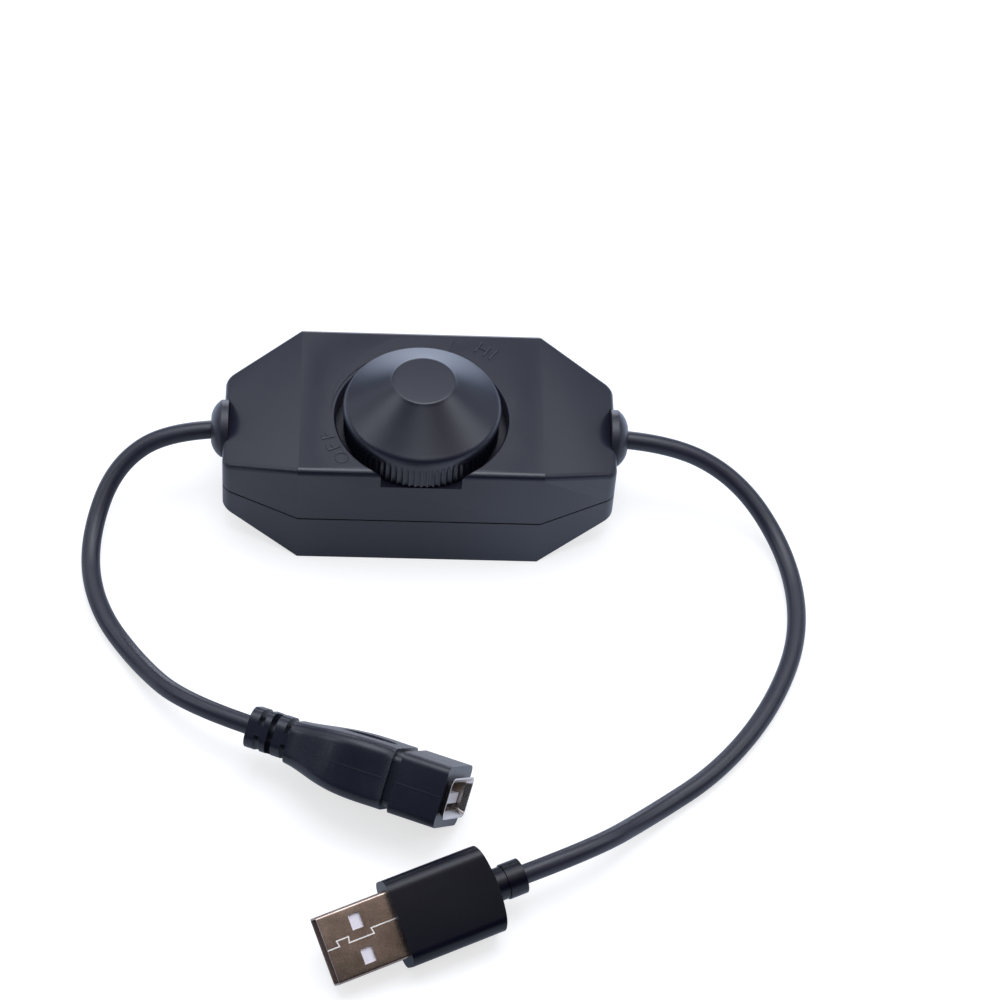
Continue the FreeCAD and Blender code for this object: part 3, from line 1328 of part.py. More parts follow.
def main():
    make_upper_shell()
    make_lower_shell()
    make_case_screws()
    make_control_knob()
    make_rotary_control()
    make_circuit_board()
    make_board_parts()
    make_grommets()
    make_leads()
    make_cord("output_cord", laid(OUTPUT_ROUTE, -1), cell("cord_diameter"))
    make_cord("input_cord", laid(INPUT_ROUTE, 1), cell("cord_diameter"))
    make_plug()
    make_socket()
    doc.recompute()
    check_and_export()


def check_and_export():
    for item in doc.Objects:
        if "Invalid" in item.State or "Error" in item.State:
            raise RuntimeError("%s failed: %s" % (item.Label, item.State))
    for piece in sub_parts:
        if piece.Shape.isNull() or not piece.Shape.isValid():
            raise RuntimeError(piece.Label + " has no valid shape")
    os.makedirs("parts", exist_ok=True)
    for piece in sub_parts:
        piece.Shape.exportStep("parts/%s.step" % piece.Label)
        print("%-20s solids %d volume %.1f" % (piece.Label, len(piece.Shape.Solids), piece.Shape.Volume))


main()
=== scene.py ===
import json
import math

import bmesh
import bpy
from mathutils import Matrix, Vector
from mathutils.bvhtree import BVHTree


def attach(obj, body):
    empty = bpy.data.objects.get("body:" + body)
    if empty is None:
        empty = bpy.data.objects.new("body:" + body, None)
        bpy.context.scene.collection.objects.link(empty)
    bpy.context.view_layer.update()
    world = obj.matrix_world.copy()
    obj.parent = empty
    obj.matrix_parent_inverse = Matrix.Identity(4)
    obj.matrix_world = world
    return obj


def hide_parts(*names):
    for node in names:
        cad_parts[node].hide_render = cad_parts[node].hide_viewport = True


# Rotary cord dimmer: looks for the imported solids. Everything is in metres, mm turns millimetres into them.
mm = 0.001
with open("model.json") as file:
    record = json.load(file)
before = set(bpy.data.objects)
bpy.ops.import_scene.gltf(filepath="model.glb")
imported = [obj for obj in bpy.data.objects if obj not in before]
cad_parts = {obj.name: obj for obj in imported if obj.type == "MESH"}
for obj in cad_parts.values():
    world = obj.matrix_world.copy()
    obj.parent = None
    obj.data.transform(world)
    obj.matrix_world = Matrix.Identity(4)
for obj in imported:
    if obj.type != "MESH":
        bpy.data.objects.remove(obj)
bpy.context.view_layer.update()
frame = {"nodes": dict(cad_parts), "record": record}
bodyOf = {node: body for body, nodes in frame["record"]["behaviour"]["bodies"].items() for node in nodes}
print("frame loaded:", len(frame["nodes"]), "nodes")


# Camera and cords come first

cameraView = {
    "place": (-18.13, -412.46, 469.56),
    "right": (0.998193, -0.017342, 0.057525),
    "up": (-0.024700, 0.754350, 0.656008),
    "back": (-0.054770, -0.656244, 0.752559),
    "lens": 116.53,
    "sensor": 36.0,
    "nearest": 0.01,
    "furthest": 20.0,
}


def makeCamera(view):
    data = bpy.data.cameras.new("camera")
    data.sensor_fit = "HORIZONTAL"
    data.sensor_width = view["sensor"]
    data.lens = view["lens"]
    data.clip_start = view["nearest"]
    data.clip_end = view["furthest"]
    camera = bpy.data.objects.new("camera", data)
    bpy.context.scene.collection.objects.link(camera)
    turn = Matrix([view["right"], view["up"], view["back"]]).transposed().to_4x4()
    camera.matrix_world = Matrix.Translation(Vector(view["place"]) * mm) @ turn
    bpy.context.scene.camera = camera


makeCamera(cameraView)

# Route points in millimetres, from inside the case to the moulded end
cordRoutes = {
    "outputCord": {
        "node": "output_cord",
        "points": [(-32.4, 0, 15.2), (-46, 0, 15.2), (-57.5, -4.6, 9.5), (-62, -18, 1.8),
                   (-59.4, -33.4, 1.8), (-50.9, -46.6, 1.9), (-41.6, -59.7, 7.6), (-29.3, -64.9, 8.2)],
        "exit": (-39.4, 0, 15.2),
        "length": 103,
        "farEnd": "connector",
        "riders": ["socket_grip", "socket_shell", "socket_tongue", "socket_contacts"],
        "seams": ["socketSeamGrip", "socketSeamFront"],
    },
    "inputCord": {
        "node": "input_cord",
        "points": [(32.4, 0, 15.2), (46, 0, 15.2), (61, -3.6, 9.2), (70.6, -16.5, 1.8), (71.7, -35.3, 1.8),
                   (65.3, -52.8, 1.8), (54.5, -67.9, 1.8), (41.1, -78.6, 2.2), (30.4, -89.4, 7.6),
                   (17.7, -95.1, 7.3)],
        "exit": (39.4, 0, 15.2),
        "length": 149,
        "farEnd": "plug",
        "riders": ["plug_grip", "plug_shell", "plug_tongue", "plug_contacts"],
        "seams": ["plugSeamGlint"],
    },
}
cordDiameter = 3.5
cordSteps = {"around": 8, "along": 20}


def makeCord(name, route):
    curve = bpy.data.curves.new(name, "CURVE")
    curve.dimensions = "3D"
    curve.bevel_depth = 1.0
    curve.bevel_resolution = cordSteps["around"]
    curve.resolution_u = cordSteps["along"]
    curve.use_fill_caps = True
    spline = curve.splines.new("NURBS")
    spline.points.add(len(route["points"]) - 1)
    for point, place in zip(spline.points, route["points"]):
        point.co = (*(Vector(place) * mm), 1.0)
        point.radius = cordDiameter / 2 * mm
    spline.order_u = 3
    spline.use_endpoint_u = True
    cord = bpy.data.objects.new(name, curve)
    bpy.context.scene.collection.objects.link(cord)
    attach(cord, bodyOf[route["node"]])
    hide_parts(route["node"])
    return cord


cords = {name: makeCord(name, route) for name, route in cordRoutes.items()}
print("cords laid:", ", ".join(cords))


# Shader node groups

def addSocket(tree, name, direction, kind, value=None):
    socket = tree.interface.new_socket(name=name, in_out=direction, socket_type=kind)
    if value is not None:
        socket.default_value = value


def addNode(tree, kind, inputs=None, **settings):
    node = tree.nodes.new(kind)
    for key, value in settings.items():
        setattr(node, key, value)
    for key, value in (inputs or {}).items():
        if isinstance(value, bpy.types.NodeSocket):
            tree.links.new(value, node.inputs[key])
        else:
            node.inputs[key].default_value = value
    return node


def mathNode(tree, operation, first, second=0.0, clamp=False):
    node = addNode(tree, "ShaderNodeMath", {0: first, 1: second}, operation=operation, use_clamp=clamp)
    return node.outputs[0]


def scaledNode(tree, vector, scale):
    node = addNode(tree, "ShaderNodeVectorMath", {0: vector, "Scale": scale}, operation="SCALE")
    return node.outputs["Vector"]


# Middle of a noise, and the shares that its parts have in a surface
noiseMiddle = 0.5
speckShare = 0.6
streakShare = 0.5
pitShare = 0.5
metalGlossChange = 0.12


def mouldedSurfaceGroup():
    # Spark-eroded plastic: fine grain, faint cloudy change of tone and of gloss
    tree = bpy.data.node_groups.new("mouldedSurface", "ShaderNodeTree")
    addSocket(tree, "Tone", "INPUT", "NodeSocketColor", (0.02, 0.02, 0.025, 1))
    addSocket(tree, "Tone change", "INPUT", "NodeSocketFloat", 0.12)
    addSocket(tree, "Grain per metre", "INPUT", "NodeSocketFloat", 3000.0)
    addSocket(tree, "Cloud per metre", "INPUT", "NodeSocketFloat", 90.0)
    addSocket(tree, "Gloss", "INPUT", "NodeSocketFloat", 0.4)
    addSocket(tree, "Gloss change", "INPUT", "NodeSocketFloat", 0.06)
    addSocket(tree, "Color", "OUTPUT", "NodeSocketColor")
    addSocket(tree, "Roughness", "OUTPUT", "NodeSocketFloat")
    addSocket(tree, "Height", "OUTPUT", "NodeSocketFloat")
    inside = addNode(tree, "NodeGroupInput")
    outside = addNode(tree, "NodeGroupOutput")
    place = addNode(tree, "ShaderNodeTexCoord").outputs["Object"]
    grain = addNode(tree, "ShaderNodeTexNoise", {
        "Vector": place, "Scale": inside.outputs["Grain per metre"], "Detail": 3.0, "Roughness": 0.62})
    cloud = addNode(tree, "ShaderNodeTexNoise", {
        "Vector": place, "Scale": inside.outputs["Cloud per metre"], "Detail": 4.0, "Roughness": 0.55})
    centred = mathNode(tree, "SUBTRACT", cloud.outputs["Fac"], noiseMiddle)
    speck = mathNode(tree, "SUBTRACT", grain.outputs["Fac"], noiseMiddle)
    both = mathNode(tree, "ADD", centred, mathNode(tree, "MULTIPLY", speck, speckShare))
    factor = mathNode(tree, "ADD", mathNode(tree, "MULTIPLY", both, inside.outputs["Tone change"]), 1.0)
    tree.links.new(scaledNode(tree, inside.outputs["Tone"], factor), outside.inputs["Color"])
    change = mathNode(tree, "MULTIPLY", both, inside.outputs["Gloss change"])
    gloss = mathNode(tree, "ADD", inside.outputs["Gloss"], change, clamp=True)
    tree.links.new(gloss, outside.inputs["Roughness"])
    tree.links.new(grain.outputs["Fac"], outside.inputs["Height"])
    return tree


def rolledMetalGroup():
    # Plated sheet: drawn streaks along one way, pits and a slightly uneven tone
    tree = bpy.data.node_groups.new("rolledMetal", "ShaderNodeTree")
    addSocket(tree, "Tone", "INPUT", "NodeSocketColor", (0.6, 0.58, 0.56, 1))
    addSocket(tree, "Streak", "INPUT", "NodeSocketVector", (300.0, 6000.0, 6000.0))
    addSocket(tree, "Gloss", "INPUT", "NodeSocketFloat", 0.25)
    addSocket(tree, "Stain", "INPUT", "NodeSocketFloat", 0.4)
    addSocket(tree, "Color", "OUTPUT", "NodeSocketColor")
    addSocket(tree, "Roughness", "OUTPUT", "NodeSocketFloat")
    addSocket(tree, "Height", "OUTPUT", "NodeSocketFloat")
    inside = addNode(tree, "NodeGroupInput")
    outside = addNode(tree, "NodeGroupOutput")
    place = addNode(tree, "ShaderNodeTexCoord").outputs["Object"]
    stretched = addNode(tree, "ShaderNodeVectorMath", {
        0: place, 1: inside.outputs["Streak"]}, operation="MULTIPLY")
    streak = addNode(tree, "ShaderNodeTexNoise", {
        "Vector": stretched.outputs["Vector"], "Scale": 1.0, "Detail": 3.0, "Roughness": 0.6})
    pits = addNode(tree, "ShaderNodeTexNoise", {"Vector": place, "Scale": 2600.0, "Detail": 2.0})
    stain = addNode(tree, "ShaderNodeTexNoise", {
        "Vector": place, "Scale": 230.0, "Detail": 6.0, "Roughness": 0.7})
    mixture = mathNode(tree, "ADD", mathNode(tree, "MULTIPLY", streak.outputs["Fac"], streakShare),
                       mathNode(tree, "MULTIPLY", pits.outputs["Fac"], pitShare))
    centred = mathNode(tree, "SUBTRACT", stain.outputs["Fac"], noiseMiddle)
    shade = mathNode(tree, "ADD", 1.0, mathNode(tree, "MULTIPLY", centred, inside.outputs["Stain"]))
    tree.links.new(scaledNode(tree, inside.outputs["Tone"], shade), outside.inputs["Color"])
    change = mathNode(tree, "MULTIPLY", mixture, metalGlossChange)
    rough = mathNode(tree, "ADD", inside.outputs["Gloss"], change)
    tree.links.new(rough, outside.inputs["Roughness"])
    tree.links.new(mixture, outside.inputs["Height"])
    return tree


mouldedSurface = mouldedSurfaceGroup()
rolledMetal = rolledMetalGroup()

plainIor = 1.48
plainStain = 0.4

# One entry per finish: bump in millimetres, grain, cloud and streak per metre
plastics = {
    "caseBlack": {"tone": (0.0070, 0.0078, 0.0190), "ior": 1.57, "gloss": 0.35, "glossChange": 0.10,
                  "change": 0.16, "grain": 3200, "cloud": 60, "bump": 0.010},
    "knobBlack": {"tone": (0.0090, 0.0105, 0.0220), "ior": 1.56, "gloss": 0.36, "glossChange": 0.08,
                  "change": 0.12, "grain": 3600, "cloud": 80, "bump": 0.008},
    "cordBlack": {"tone": (0.0190, 0.0200, 0.0330), "gloss": 0.38, "glossChange": 0.12, "change": 0.2,
                  "grain": 2400, "cloud": 120, "bump": 0.012},
    "rubberBlack": {"tone": (0.0200, 0.0210, 0.0330), "gloss": 0.40, "glossChange": 0.10, "change": 0.15,
                    "grain": 2600, "cloud": 150, "bump": 0.010},
    "gripBlack": {"tone": (0.0008, 0.0012, 0.0072), "ior": 1.39, "gloss": 0.34, "glossChange": 0.10,
                  "change": 0.2, "grain": 3000, "cloud": 120, "bump": 0.010},
    "socketBlack": {"tone": (0.0110, 0.0135, 0.0235), "gloss": 0.34, "glossChange": 0.14, "change": 0.25,
                    "grain": 2600, "cloud": 120, "bump": 0.022},
    # Wide faces of the socket grip: coarser grain, and a tone far lighter than socketBlack that is painted
    # sheen
    "socketGrainAndSheen": {"tone": (0.070, 0.069, 0.080), "gloss": 0.40, "glossChange": 0.3, "change": 1.0,
                      "grain": 1500, "cloud": 400, "bump": 0.060},
    "insulatorWhite": {"tone": (0.92, 0.88, 0.94), "gloss": 0.35, "glossChange": 0.05, "change": 0.04,
                       "grain": 2500, "cloud": 200, "bump": 0.004},
    "partWhite": {"tone": (0.78, 0.76, 0.70), "gloss": 0.40, "glossChange": 0.08, "change": 0.06,
                  "grain": 2500, "cloud": 150, "bump": 0.006},
    "boardGreen": {"tone": (0.020, 0.165, 0.060), "gloss": 0.25, "glossChange": 0.10, "change": 0.25,
                   "grain": 1500, "cloud": 140, "bump": 0.010},
    "waferBrown": {"tone": (0.34, 0.19, 0.08), "gloss": 0.45, "glossChange": 0.10, "change": 0.3,
                   "grain": 1200, "cloud": 300, "bump": 0.010},
    "packageBlack": {"tone": (0.018, 0.018, 0.018), "gloss": 0.5, "glossChange": 0.1, "change": 0.2,
                     "grain": 4000, "cloud": 300, "bump": 0.012},
    "chipTan": {"tone": (0.50, 0.35, 0.20), "gloss": 0.5, "glossChange": 0.1, "change": 0.2,
                "grain": 4000, "cloud": 300, "bump": 0.010},
    "sleeveBlue": {"tone": (0.020, 0.035, 0.12), "gloss": 0.22, "glossChange": 0.06, "change": 0.1,
                   "grain": 900, "cloud": 200, "bump": 0.006},
    "wireRed": {"tone": (0.48, 0.012, 0.012), "gloss": 0.3, "glossChange": 0.1, "change": 0.12,
                "grain": 2000, "cloud": 300, "bump": 0.006},
    "wireBlack": {"tone": (0.014, 0.014, 0.014), "gloss": 0.3, "glossChange": 0.1, "change": 0.12,
                  "grain": 2000, "cloud": 300, "bump": 0.006},
}
metals = {
    "plugMetal": {"tone": (0.36, 0.285, 0.245), "gloss": 0.20, "streak": (500, 900, 900), "bump": 0.004,
                  "stain": 1.6},
    "shellMetal": {"tone": (0.66, 0.60, 0.56), "gloss": 0.17, "streak": (500, 900, 900), "bump": 0.003},
    # Bright, rough metal for the plug's seam bead: a painted glint on the joint's edge
    "seamGlintMetal": {"tone": (0.95, 0.92, 0.88), "gloss": 0.55, "streak": (500, 900, 900), "bump": 0.002},
    "zincMetal": {"tone": (0.58, 0.58, 0.57), "gloss": 0.28, "streak": (900, 900, 900), "bump": 0.006},
    "brassMetal": {"tone": (0.72, 0.55, 0.26), "gloss": 0.22, "streak": (4000, 4000, 400), "bump": 0.004},
    "shaftMetal": {"tone": (0.74, 0.75, 0.77), "gloss": 0.26, "streak": (600, 600, 9000), "bump": 0.004},
    "tinMetal": {"tone": (0.66, 0.66, 0.64), "gloss": 0.3, "streak": (2000, 2000, 600), "bump": 0.006},
    "goldMetal": {"tone": (0.92, 0.68, 0.26), "gloss": 0.16, "streak": (500, 900, 900), "bump": 0.002},
}


def startMaterial(name):
    material = bpy.data.materials.new(name)
    material.use_nodes = True
    tree = material.node_tree
    return material, tree, tree.nodes["Principled BSDF"]


def finishMaterial(tree, shader, surface, bump):
    tree.links.new(surface.outputs["Color"], shader.inputs["Base Color"])
    tree.links.new(surface.outputs["Roughness"], shader.inputs["Roughness"])
    relief = addNode(tree, "ShaderNodeBump", {
        "Height": surface.outputs["Height"], "Distance": bump * mm, "Strength": 1.0})
    tree.links.new(relief.outputs["Normal"], shader.inputs["Normal"])


def plasticMaterial(name, look):
    material, tree, shader = startMaterial(name)
    surface = addNode(tree, "ShaderNodeGroup", node_tree=mouldedSurface)
    surface.inputs["Tone"].default_value = (*look["tone"], 1)
    surface.inputs["Tone change"].default_value = look["change"]
    surface.inputs["Grain per metre"].default_value = look["grain"]
    surface.inputs["Cloud per metre"].default_value = look["cloud"]
    surface.inputs["Gloss"].default_value = look["gloss"]
    surface.inputs["Gloss change"].default_value = look["glossChange"]
    shader.inputs["IOR"].default_value = look.get("ior", plainIor)
    finishMaterial(tree, shader, surface, look["bump"])
    return material


def metalMaterial(name, look):
    material, tree, shader = startMaterial(name)
    surface = addNode(tree, "ShaderNodeGroup", node_tree=rolledMetal)
    surface.inputs["Tone"].default_value = (*look["tone"], 1)
    surface.inputs["Streak"].default_value = look["streak"]
    surface.inputs["Gloss"].default_value = look["gloss"]
    surface.inputs["Stain"].default_value = look.get("stain", plainStain)
    shader.inputs["Metallic"].default_value = 1.0
    finishMaterial(tree, shader, surface, look["bump"])
    return material


finishes = {name: plasticMaterial(name, look) for name, look in plastics.items()}
finishes.update({name: metalMaterial(name, look) for name, look in metals.items()})
for cord in cords.values():
    cord.data.materials.append(finishes["cordBlack"])
print("finishes mixed:", len(finishes))


# Pieces taken over from the solids: merged, smoothed and with softened edges

takenOver = {
    "caseTop": {"node": "upper_shell", "finish": "caseBlack", "slot": "case_black", "soften": 0.22},
    "caseBottom": {"node": "lower_shell", "finish": "caseBlack", "slot": "case_black", "soften": 0.22},
    "leftGrommet": {"node": "left_grommet", "finish": "rubberBlack", "slot": "rubber_black",
                    "soften": 0.15, "capBack": 37.2, "seat": 36.1},
    "rightGrommet": {"node": "right_grommet", "finish": "rubberBlack", "slot": "rubber_black",
                     "soften": 0.15, "capBack": 37.2, "seat": 36.1},
    "plugGrip": {"node": "plug_grip", "finish": "gripBlack", "slot": "moulding_black", "soften": 0.25},
    "plugShell": {"node": "plug_shell", "finish": "plugMetal", "slot": "plated_shell", "soften": 0.05},
    "socketGrip": {"node": "socket_grip", "finish": "socketBlack", "slot": "moulding_black", "soften": 0.22},
    "socketShell": {"node": "socket_shell", "finish": "shellMetal", "slot": "plated_shell", "soften": 0.06},
}
# Lengths in millimetres, angles in degrees
softening = {"together": 0.002, "flatAngle": 0.25, "capReach": 0.02, "bevelSteps": 3, "sharpAngle": 30}


def placeMesh(name, mesh):
    piece = bpy.data.objects.new(name, mesh)
    bpy.context.scene.collection.objects.link(piece)
    return piece


def smoothMesh(mesh, sharpAngle):
    work = bmesh.new()
    work.from_mesh(mesh)
    for face in work.faces:
        face.smooth = True
    for edge in work.edges:
        if len(edge.link_faces) == 2:
            edge.smooth = edge.calc_face_angle(0.0) < math.radians(sharpAngle)
    work.to_mesh(mesh)
    work.free()


def takeOver(name, look):
    mesh = frame["nodes"][look["node"]].data.copy()
    mesh.name = name
    work = bmesh.new()
    work.from_mesh(mesh)
    bmesh.ops.remove_doubles(work, verts=work.verts, dist=softening["together"] * mm)
    bmesh.ops.dissolve_limit(work, angle_limit=math.radians(softening["flatAngle"]), verts=work.verts,
                             edges=work.edges)
    if "seat" in look:
        # The cap reaches back into the case's shallow recess
        for vert in work.verts:
            if abs(abs(vert.co.x) - look["capBack"] * mm) < softening["capReach"] * mm:
                vert.co.x = math.copysign(look["seat"] * mm, vert.co.x)
    work.to_mesh(mesh)
    work.free()
    mesh.materials.clear()
    mesh.materials.append(finishes[look["finish"]])
    smoothMesh(mesh, softening["sharpAngle"])
    piece = placeMesh(name, mesh)
    bevel = piece.modifiers.new("softEdges", "BEVEL")
    bevel.width = look["soften"] * mm
    bevel.segments = softening["bevelSteps"]
    bevel.limit_method = "ANGLE"
    bevel.angle_limit = math.radians(softening["sharpAngle"])
    bevel.harden_normals = True
    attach(piece, bodyOf[look["node"]])
    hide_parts(look["node"])
    return piece


pieces = {name: takeOver(name, look) for name, look in takenOver.items()}
print("solids taken over:", ", ".join(pieces))


# Knob: turned profile, fluted by geometry nodes

knob = {
    "centreY": -3.9,
    "base": 20.7,
    "height": 13.3,
    "radius": 14.8,
    "flatRadius": 5.8,
    # Round of the flat's rim: points out and up from its sharp corner
    "flatRim": ((-0.35, 0), (-0.2, -0.01), (0.18, -0.2), (0.25, -0.27)),
    "flatBow": -0.05,
    "flatSteps": 3,
    "edgeHeight": 7.0,
    "edgeRound": 1.1,
    # Shares of the edge's round: where the flank ends, in and up, and how far the round bows out
    "edgeIn": 0.9,
    "edgeUp": 0.42,
    "edgeBow": 0.24,
    "edgeSteps": 7,
    "bandDepth": 0.25,
    "skirtSteps": 18,
    "flankSag": 0.08,
    "flankSteps": 16,
    "wall": 1.6,
    "rimEase": 0.2,
    "sharpAngle": 34,
    "hubRadius": 4.6,
    "hubRecess": 2.9,
    "boreRadius": 3.02,
    "boreDepth": 8.0,
    "flutes": 80,
    "fluteSteps": 8,
    "fluteDepth": 0.36,
    "fluteNarrow": 2.3,
    "fluteFade": 0.8,
    "fluteReach": 0.05,
    "archTop": 4.9,
    "archDrop": 0.9,
}


def arcPoints(start, end, bulge, steps):
    # Points from start to end along a bow that stands out by bulge at its middle
    start, end = Vector(start), Vector(end)
    along = end - start
    side = Vector((along.y, -along.x)).normalized()
    points = []
    for i in range(steps + 1):
        t = i / steps
        points.append(start + along * t + side * bulge * 4 * t * (1 - t))
    return points


def knobProfile(k):
    skirtTop = k["edgeHeight"] - k["edgeRound"]
    flankEnd = (k["radius"] - k["edgeRound"] * k["edgeIn"], k["edgeHeight"] + k["edgeRound"] * k["edgeUp"])
    flatEnd, rimStart, rimEnd, flankStart = [
        Vector((k["flatRadius"] + out, k["height"] + up)) for out, up in k["flatRim"]]
    profile = [Vector((0, k["height"])), flatEnd]
    profile += arcPoints(rimStart, rimEnd, k["flatBow"], k["flatSteps"])
    profile += arcPoints(flankStart, flankEnd, k["flankSag"], k["flankSteps"])
    edgeBow = -k["edgeRound"] * k["edgeBow"]
    profile += arcPoints(flankEnd, (k["radius"], skirtTop), edgeBow, k["edgeSteps"])[1:]
    skirt = k["radius"] - k["bandDepth"]
    bandEnd = skirtTop - k["bandDepth"]
    profile.append(Vector((skirt, bandEnd)))
    for i in range(1, k["skirtSteps"] + 1):
        profile.append(Vector((skirt, bandEnd * (1 - i / k["skirtSteps"]))))
    inner = k["radius"] - k["wall"]
    roof = k["height"] - k["wall"]
    profile += [Vector((inner + k["rimEase"], 0)), Vector((inner, k["rimEase"])),
                Vector((inner, k["edgeHeight"] - k["wall"])),
                Vector((k["hubRadius"] + k["wall"] / 2, roof)), Vector((k["hubRadius"], roof)),
                Vector((k["hubRadius"], k["hubRecess"])), Vector((k["boreRadius"], k["hubRecess"])),
                Vector((k["boreRadius"], k["hubRecess"] + k["boreDepth"])),
                Vector((0, k["hubRecess"] + k["boreDepth"]))]
    return profile


def turnedMesh(name, profile, steps):
    work = bmesh.new()
    onAxis = 1e-6
    rings = []
    for point in profile:
        if point.x < onAxis:
            rings.append([work.verts.new((0, 0, point.y * mm))])
            continue
        rings.append([work.verts.new((math.cos(a) * point.x * mm, math.sin(a) * point.x * mm, point.y * mm))
                      for a in (2 * math.pi * i / steps for i in range(steps))])
    for upper, lower in zip(rings, rings[1:]):
        for i in range(steps):
            j = (i + 1) % steps
            if len(upper) == 1:
                work.faces.new((upper[0], lower[i], lower[j]))
            elif len(lower) == 1:
                work.faces.new((upper[i], lower[0], upper[j]))
            else:
                work.faces.new((upper[i], lower[i], lower[j], upper[j]))
    mesh = bpy.data.meshes.new(name)
    bmesh.ops.recalc_face_normals(work, faces=work.faces)
    work.to_mesh(mesh)
    work.free()
    return mesh


def fluteTree(k, material):
    tree = bpy.data.node_groups.new("flutedSkirt", "GeometryNodeTree")
    addSocket(tree, "Geometry", "INPUT", "NodeSocketGeometry")
    addSocket(tree, "Flutes", "INPUT", "NodeSocketFloat", 80.0)
    addSocket(tree, "Depth", "INPUT", "NodeSocketFloat", 0.0003)
    addSocket(tree, "Skirt radius", "INPUT", "NodeSocketFloat", 0.0145)
    addSocket(tree, "Arch top", "INPUT", "NodeSocketFloat", 0.005)
    addSocket(tree, "Arch drop", "INPUT", "NodeSocketFloat", 0.001)
    addSocket(tree, "Geometry", "OUTPUT", "NodeSocketGeometry")
    inside = addNode(tree, "NodeGroupInput")
    outside = addNode(tree, "NodeGroupOutput")
    place = addNode(tree, "GeometryNodeInputPosition").outputs[0]
    parts = addNode(tree, "ShaderNodeSeparateXYZ", {0: place})
    angle = mathNode(tree, "ARCTAN2", parts.outputs["Y"], parts.outputs["X"])
    phase = mathNode(tree, "FRACT", mathNode(tree, "MULTIPLY", mathNode(tree, "DIVIDE", angle, 2 * math.pi),
                                             inside.outputs["Flutes"]))
    fromMiddle = mathNode(tree, "ABSOLUTE", mathNode(tree, "SUBTRACT", phase, 0.5))
    fromMiddle = mathNode(tree, "MULTIPLY", fromMiddle, k["fluteNarrow"])
    squared = mathNode(tree, "MULTIPLY", fromMiddle, fromMiddle)
    hollow = mathNode(tree, "SUBTRACT", 1.0, squared, clamp=True)
    # The flute ends in an arch: its top is lower towards its sides
    top = mathNode(tree, "SUBTRACT", inside.outputs["Arch top"],
                   mathNode(tree, "MULTIPLY", squared, inside.outputs["Arch drop"]))
    below = mathNode(tree, "SUBTRACT", top, parts.outputs["Z"])
    fade = mathNode(tree, "MULTIPLY", below, 1 / (k["fluteFade"] * mm), clamp=True)
    flat = addNode(tree, "ShaderNodeCombineXYZ", {"X": parts.outputs["X"], "Y": parts.outputs["Y"]})
    radius = addNode(tree, "ShaderNodeVectorMath", {0: flat.outputs[0]}, operation="LENGTH").outputs["Value"]
    reach = mathNode(tree, "SUBTRACT", inside.outputs["Skirt radius"], k["fluteReach"] * mm)
    outer = mathNode(tree, "GREATER_THAN", radius, reach)
    amount = mathNode(tree, "MULTIPLY", mathNode(tree, "MULTIPLY", hollow, fade),
                      mathNode(tree, "MULTIPLY", outer, inside.outputs["Depth"]))
    outward = addNode(tree, "ShaderNodeVectorMath", {0: flat.outputs[0]}, operation="NORMALIZE")
    shift = scaledNode(tree, outward.outputs["Vector"], mathNode(tree, "MULTIPLY", amount, -1.0))
    moved = addNode(tree, "GeometryNodeSetPosition", {
        "Geometry": inside.outputs["Geometry"], "Offset": shift})
    real = addNode(tree, "GeometryNodeRealizeInstances", {"Geometry": moved.outputs[0]})
    painted = addNode(tree, "GeometryNodeSetMaterial", {"Geometry": real.outputs[0]})
    painted.inputs["Material"].default_value = material
    tree.links.new(painted.outputs[0], outside.inputs[0])
    return tree


def applyTree(piece, tree, values):
    # Sets the tree's named inputs, evaluates it and keeps the result as a plain mesh
    modifier = piece.modifiers.new(tree.name, "NODES")
    modifier.node_group = tree
    for socket in tree.interface.items_tree:
        if socket.item_type == "SOCKET" and socket.in_out == "INPUT" and socket.name in values:
            modifier[socket.identifier] = values[socket.name]
    bpy.context.view_layer.update()
    evaluated = piece.evaluated_get(bpy.context.evaluated_depsgraph_get())
    mesh = bpy.data.meshes.new_from_object(evaluated)
    piece.modifiers.remove(modifier)
    piece.data = mesh


def makeKnob(k):
    mesh = turnedMesh("dimmerKnob", knobProfile(k), k["flutes"] * k["fluteSteps"])
    piece = placeMesh("dimmerKnob", mesh)
    applyTree(piece, fluteTree(k, finishes["knobBlack"]), {
        "Flutes": float(k["flutes"]),
        "Depth": k["fluteDepth"] * mm,
        "Skirt radius": (k["radius"] - k["bandDepth"]) * mm,
        "Arch top": k["archTop"] * mm,
        "Arch drop": k["archDrop"] * mm,
    })
    piece.data.transform(Matrix.Translation(Vector((0, k["centreY"], k["base"])) * mm))
    smoothMesh(piece.data, k["sharpAngle"])
    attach(piece, bodyOf["control_knob"])
    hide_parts("control_knob")
    return piece


pieces["dimmerKnob"] = makeKnob(knob)
print("knob turned:", len(pieces["dimmerKnob"].data.vertices), "vertices")


# Raised marks on the top panel

marks = {
    "top": 24.0,
    "rise": 0.22,
    "letterEdge": 0.04,
    "letterGrow": -0.09,
    "letterSteps": 6,
    "letterWeld": 0.001,
    "letters": {
        "markOff": {"text": "OFF", "radius": 16.9, "angles": (215.5, 206.0, 197.0), "size": 3.9},
        "markHi": {"text": "HI", "radius": 20.0, "angles": (57.0, 50.5), "size": 4.0},
    },
    # Its outer line is pairs of degrees round the knob and radius, cut off at the panel's back edge
    "wedge": {"inner": 16.9, "backEdge": 16.6, "rise": 0.09, "sink": -0.05, "steps": 60,
              "outer": ((175, 17.0), (144, 18.1), (119, 19.7), (100, 21.2), (73, 22.6))},
}


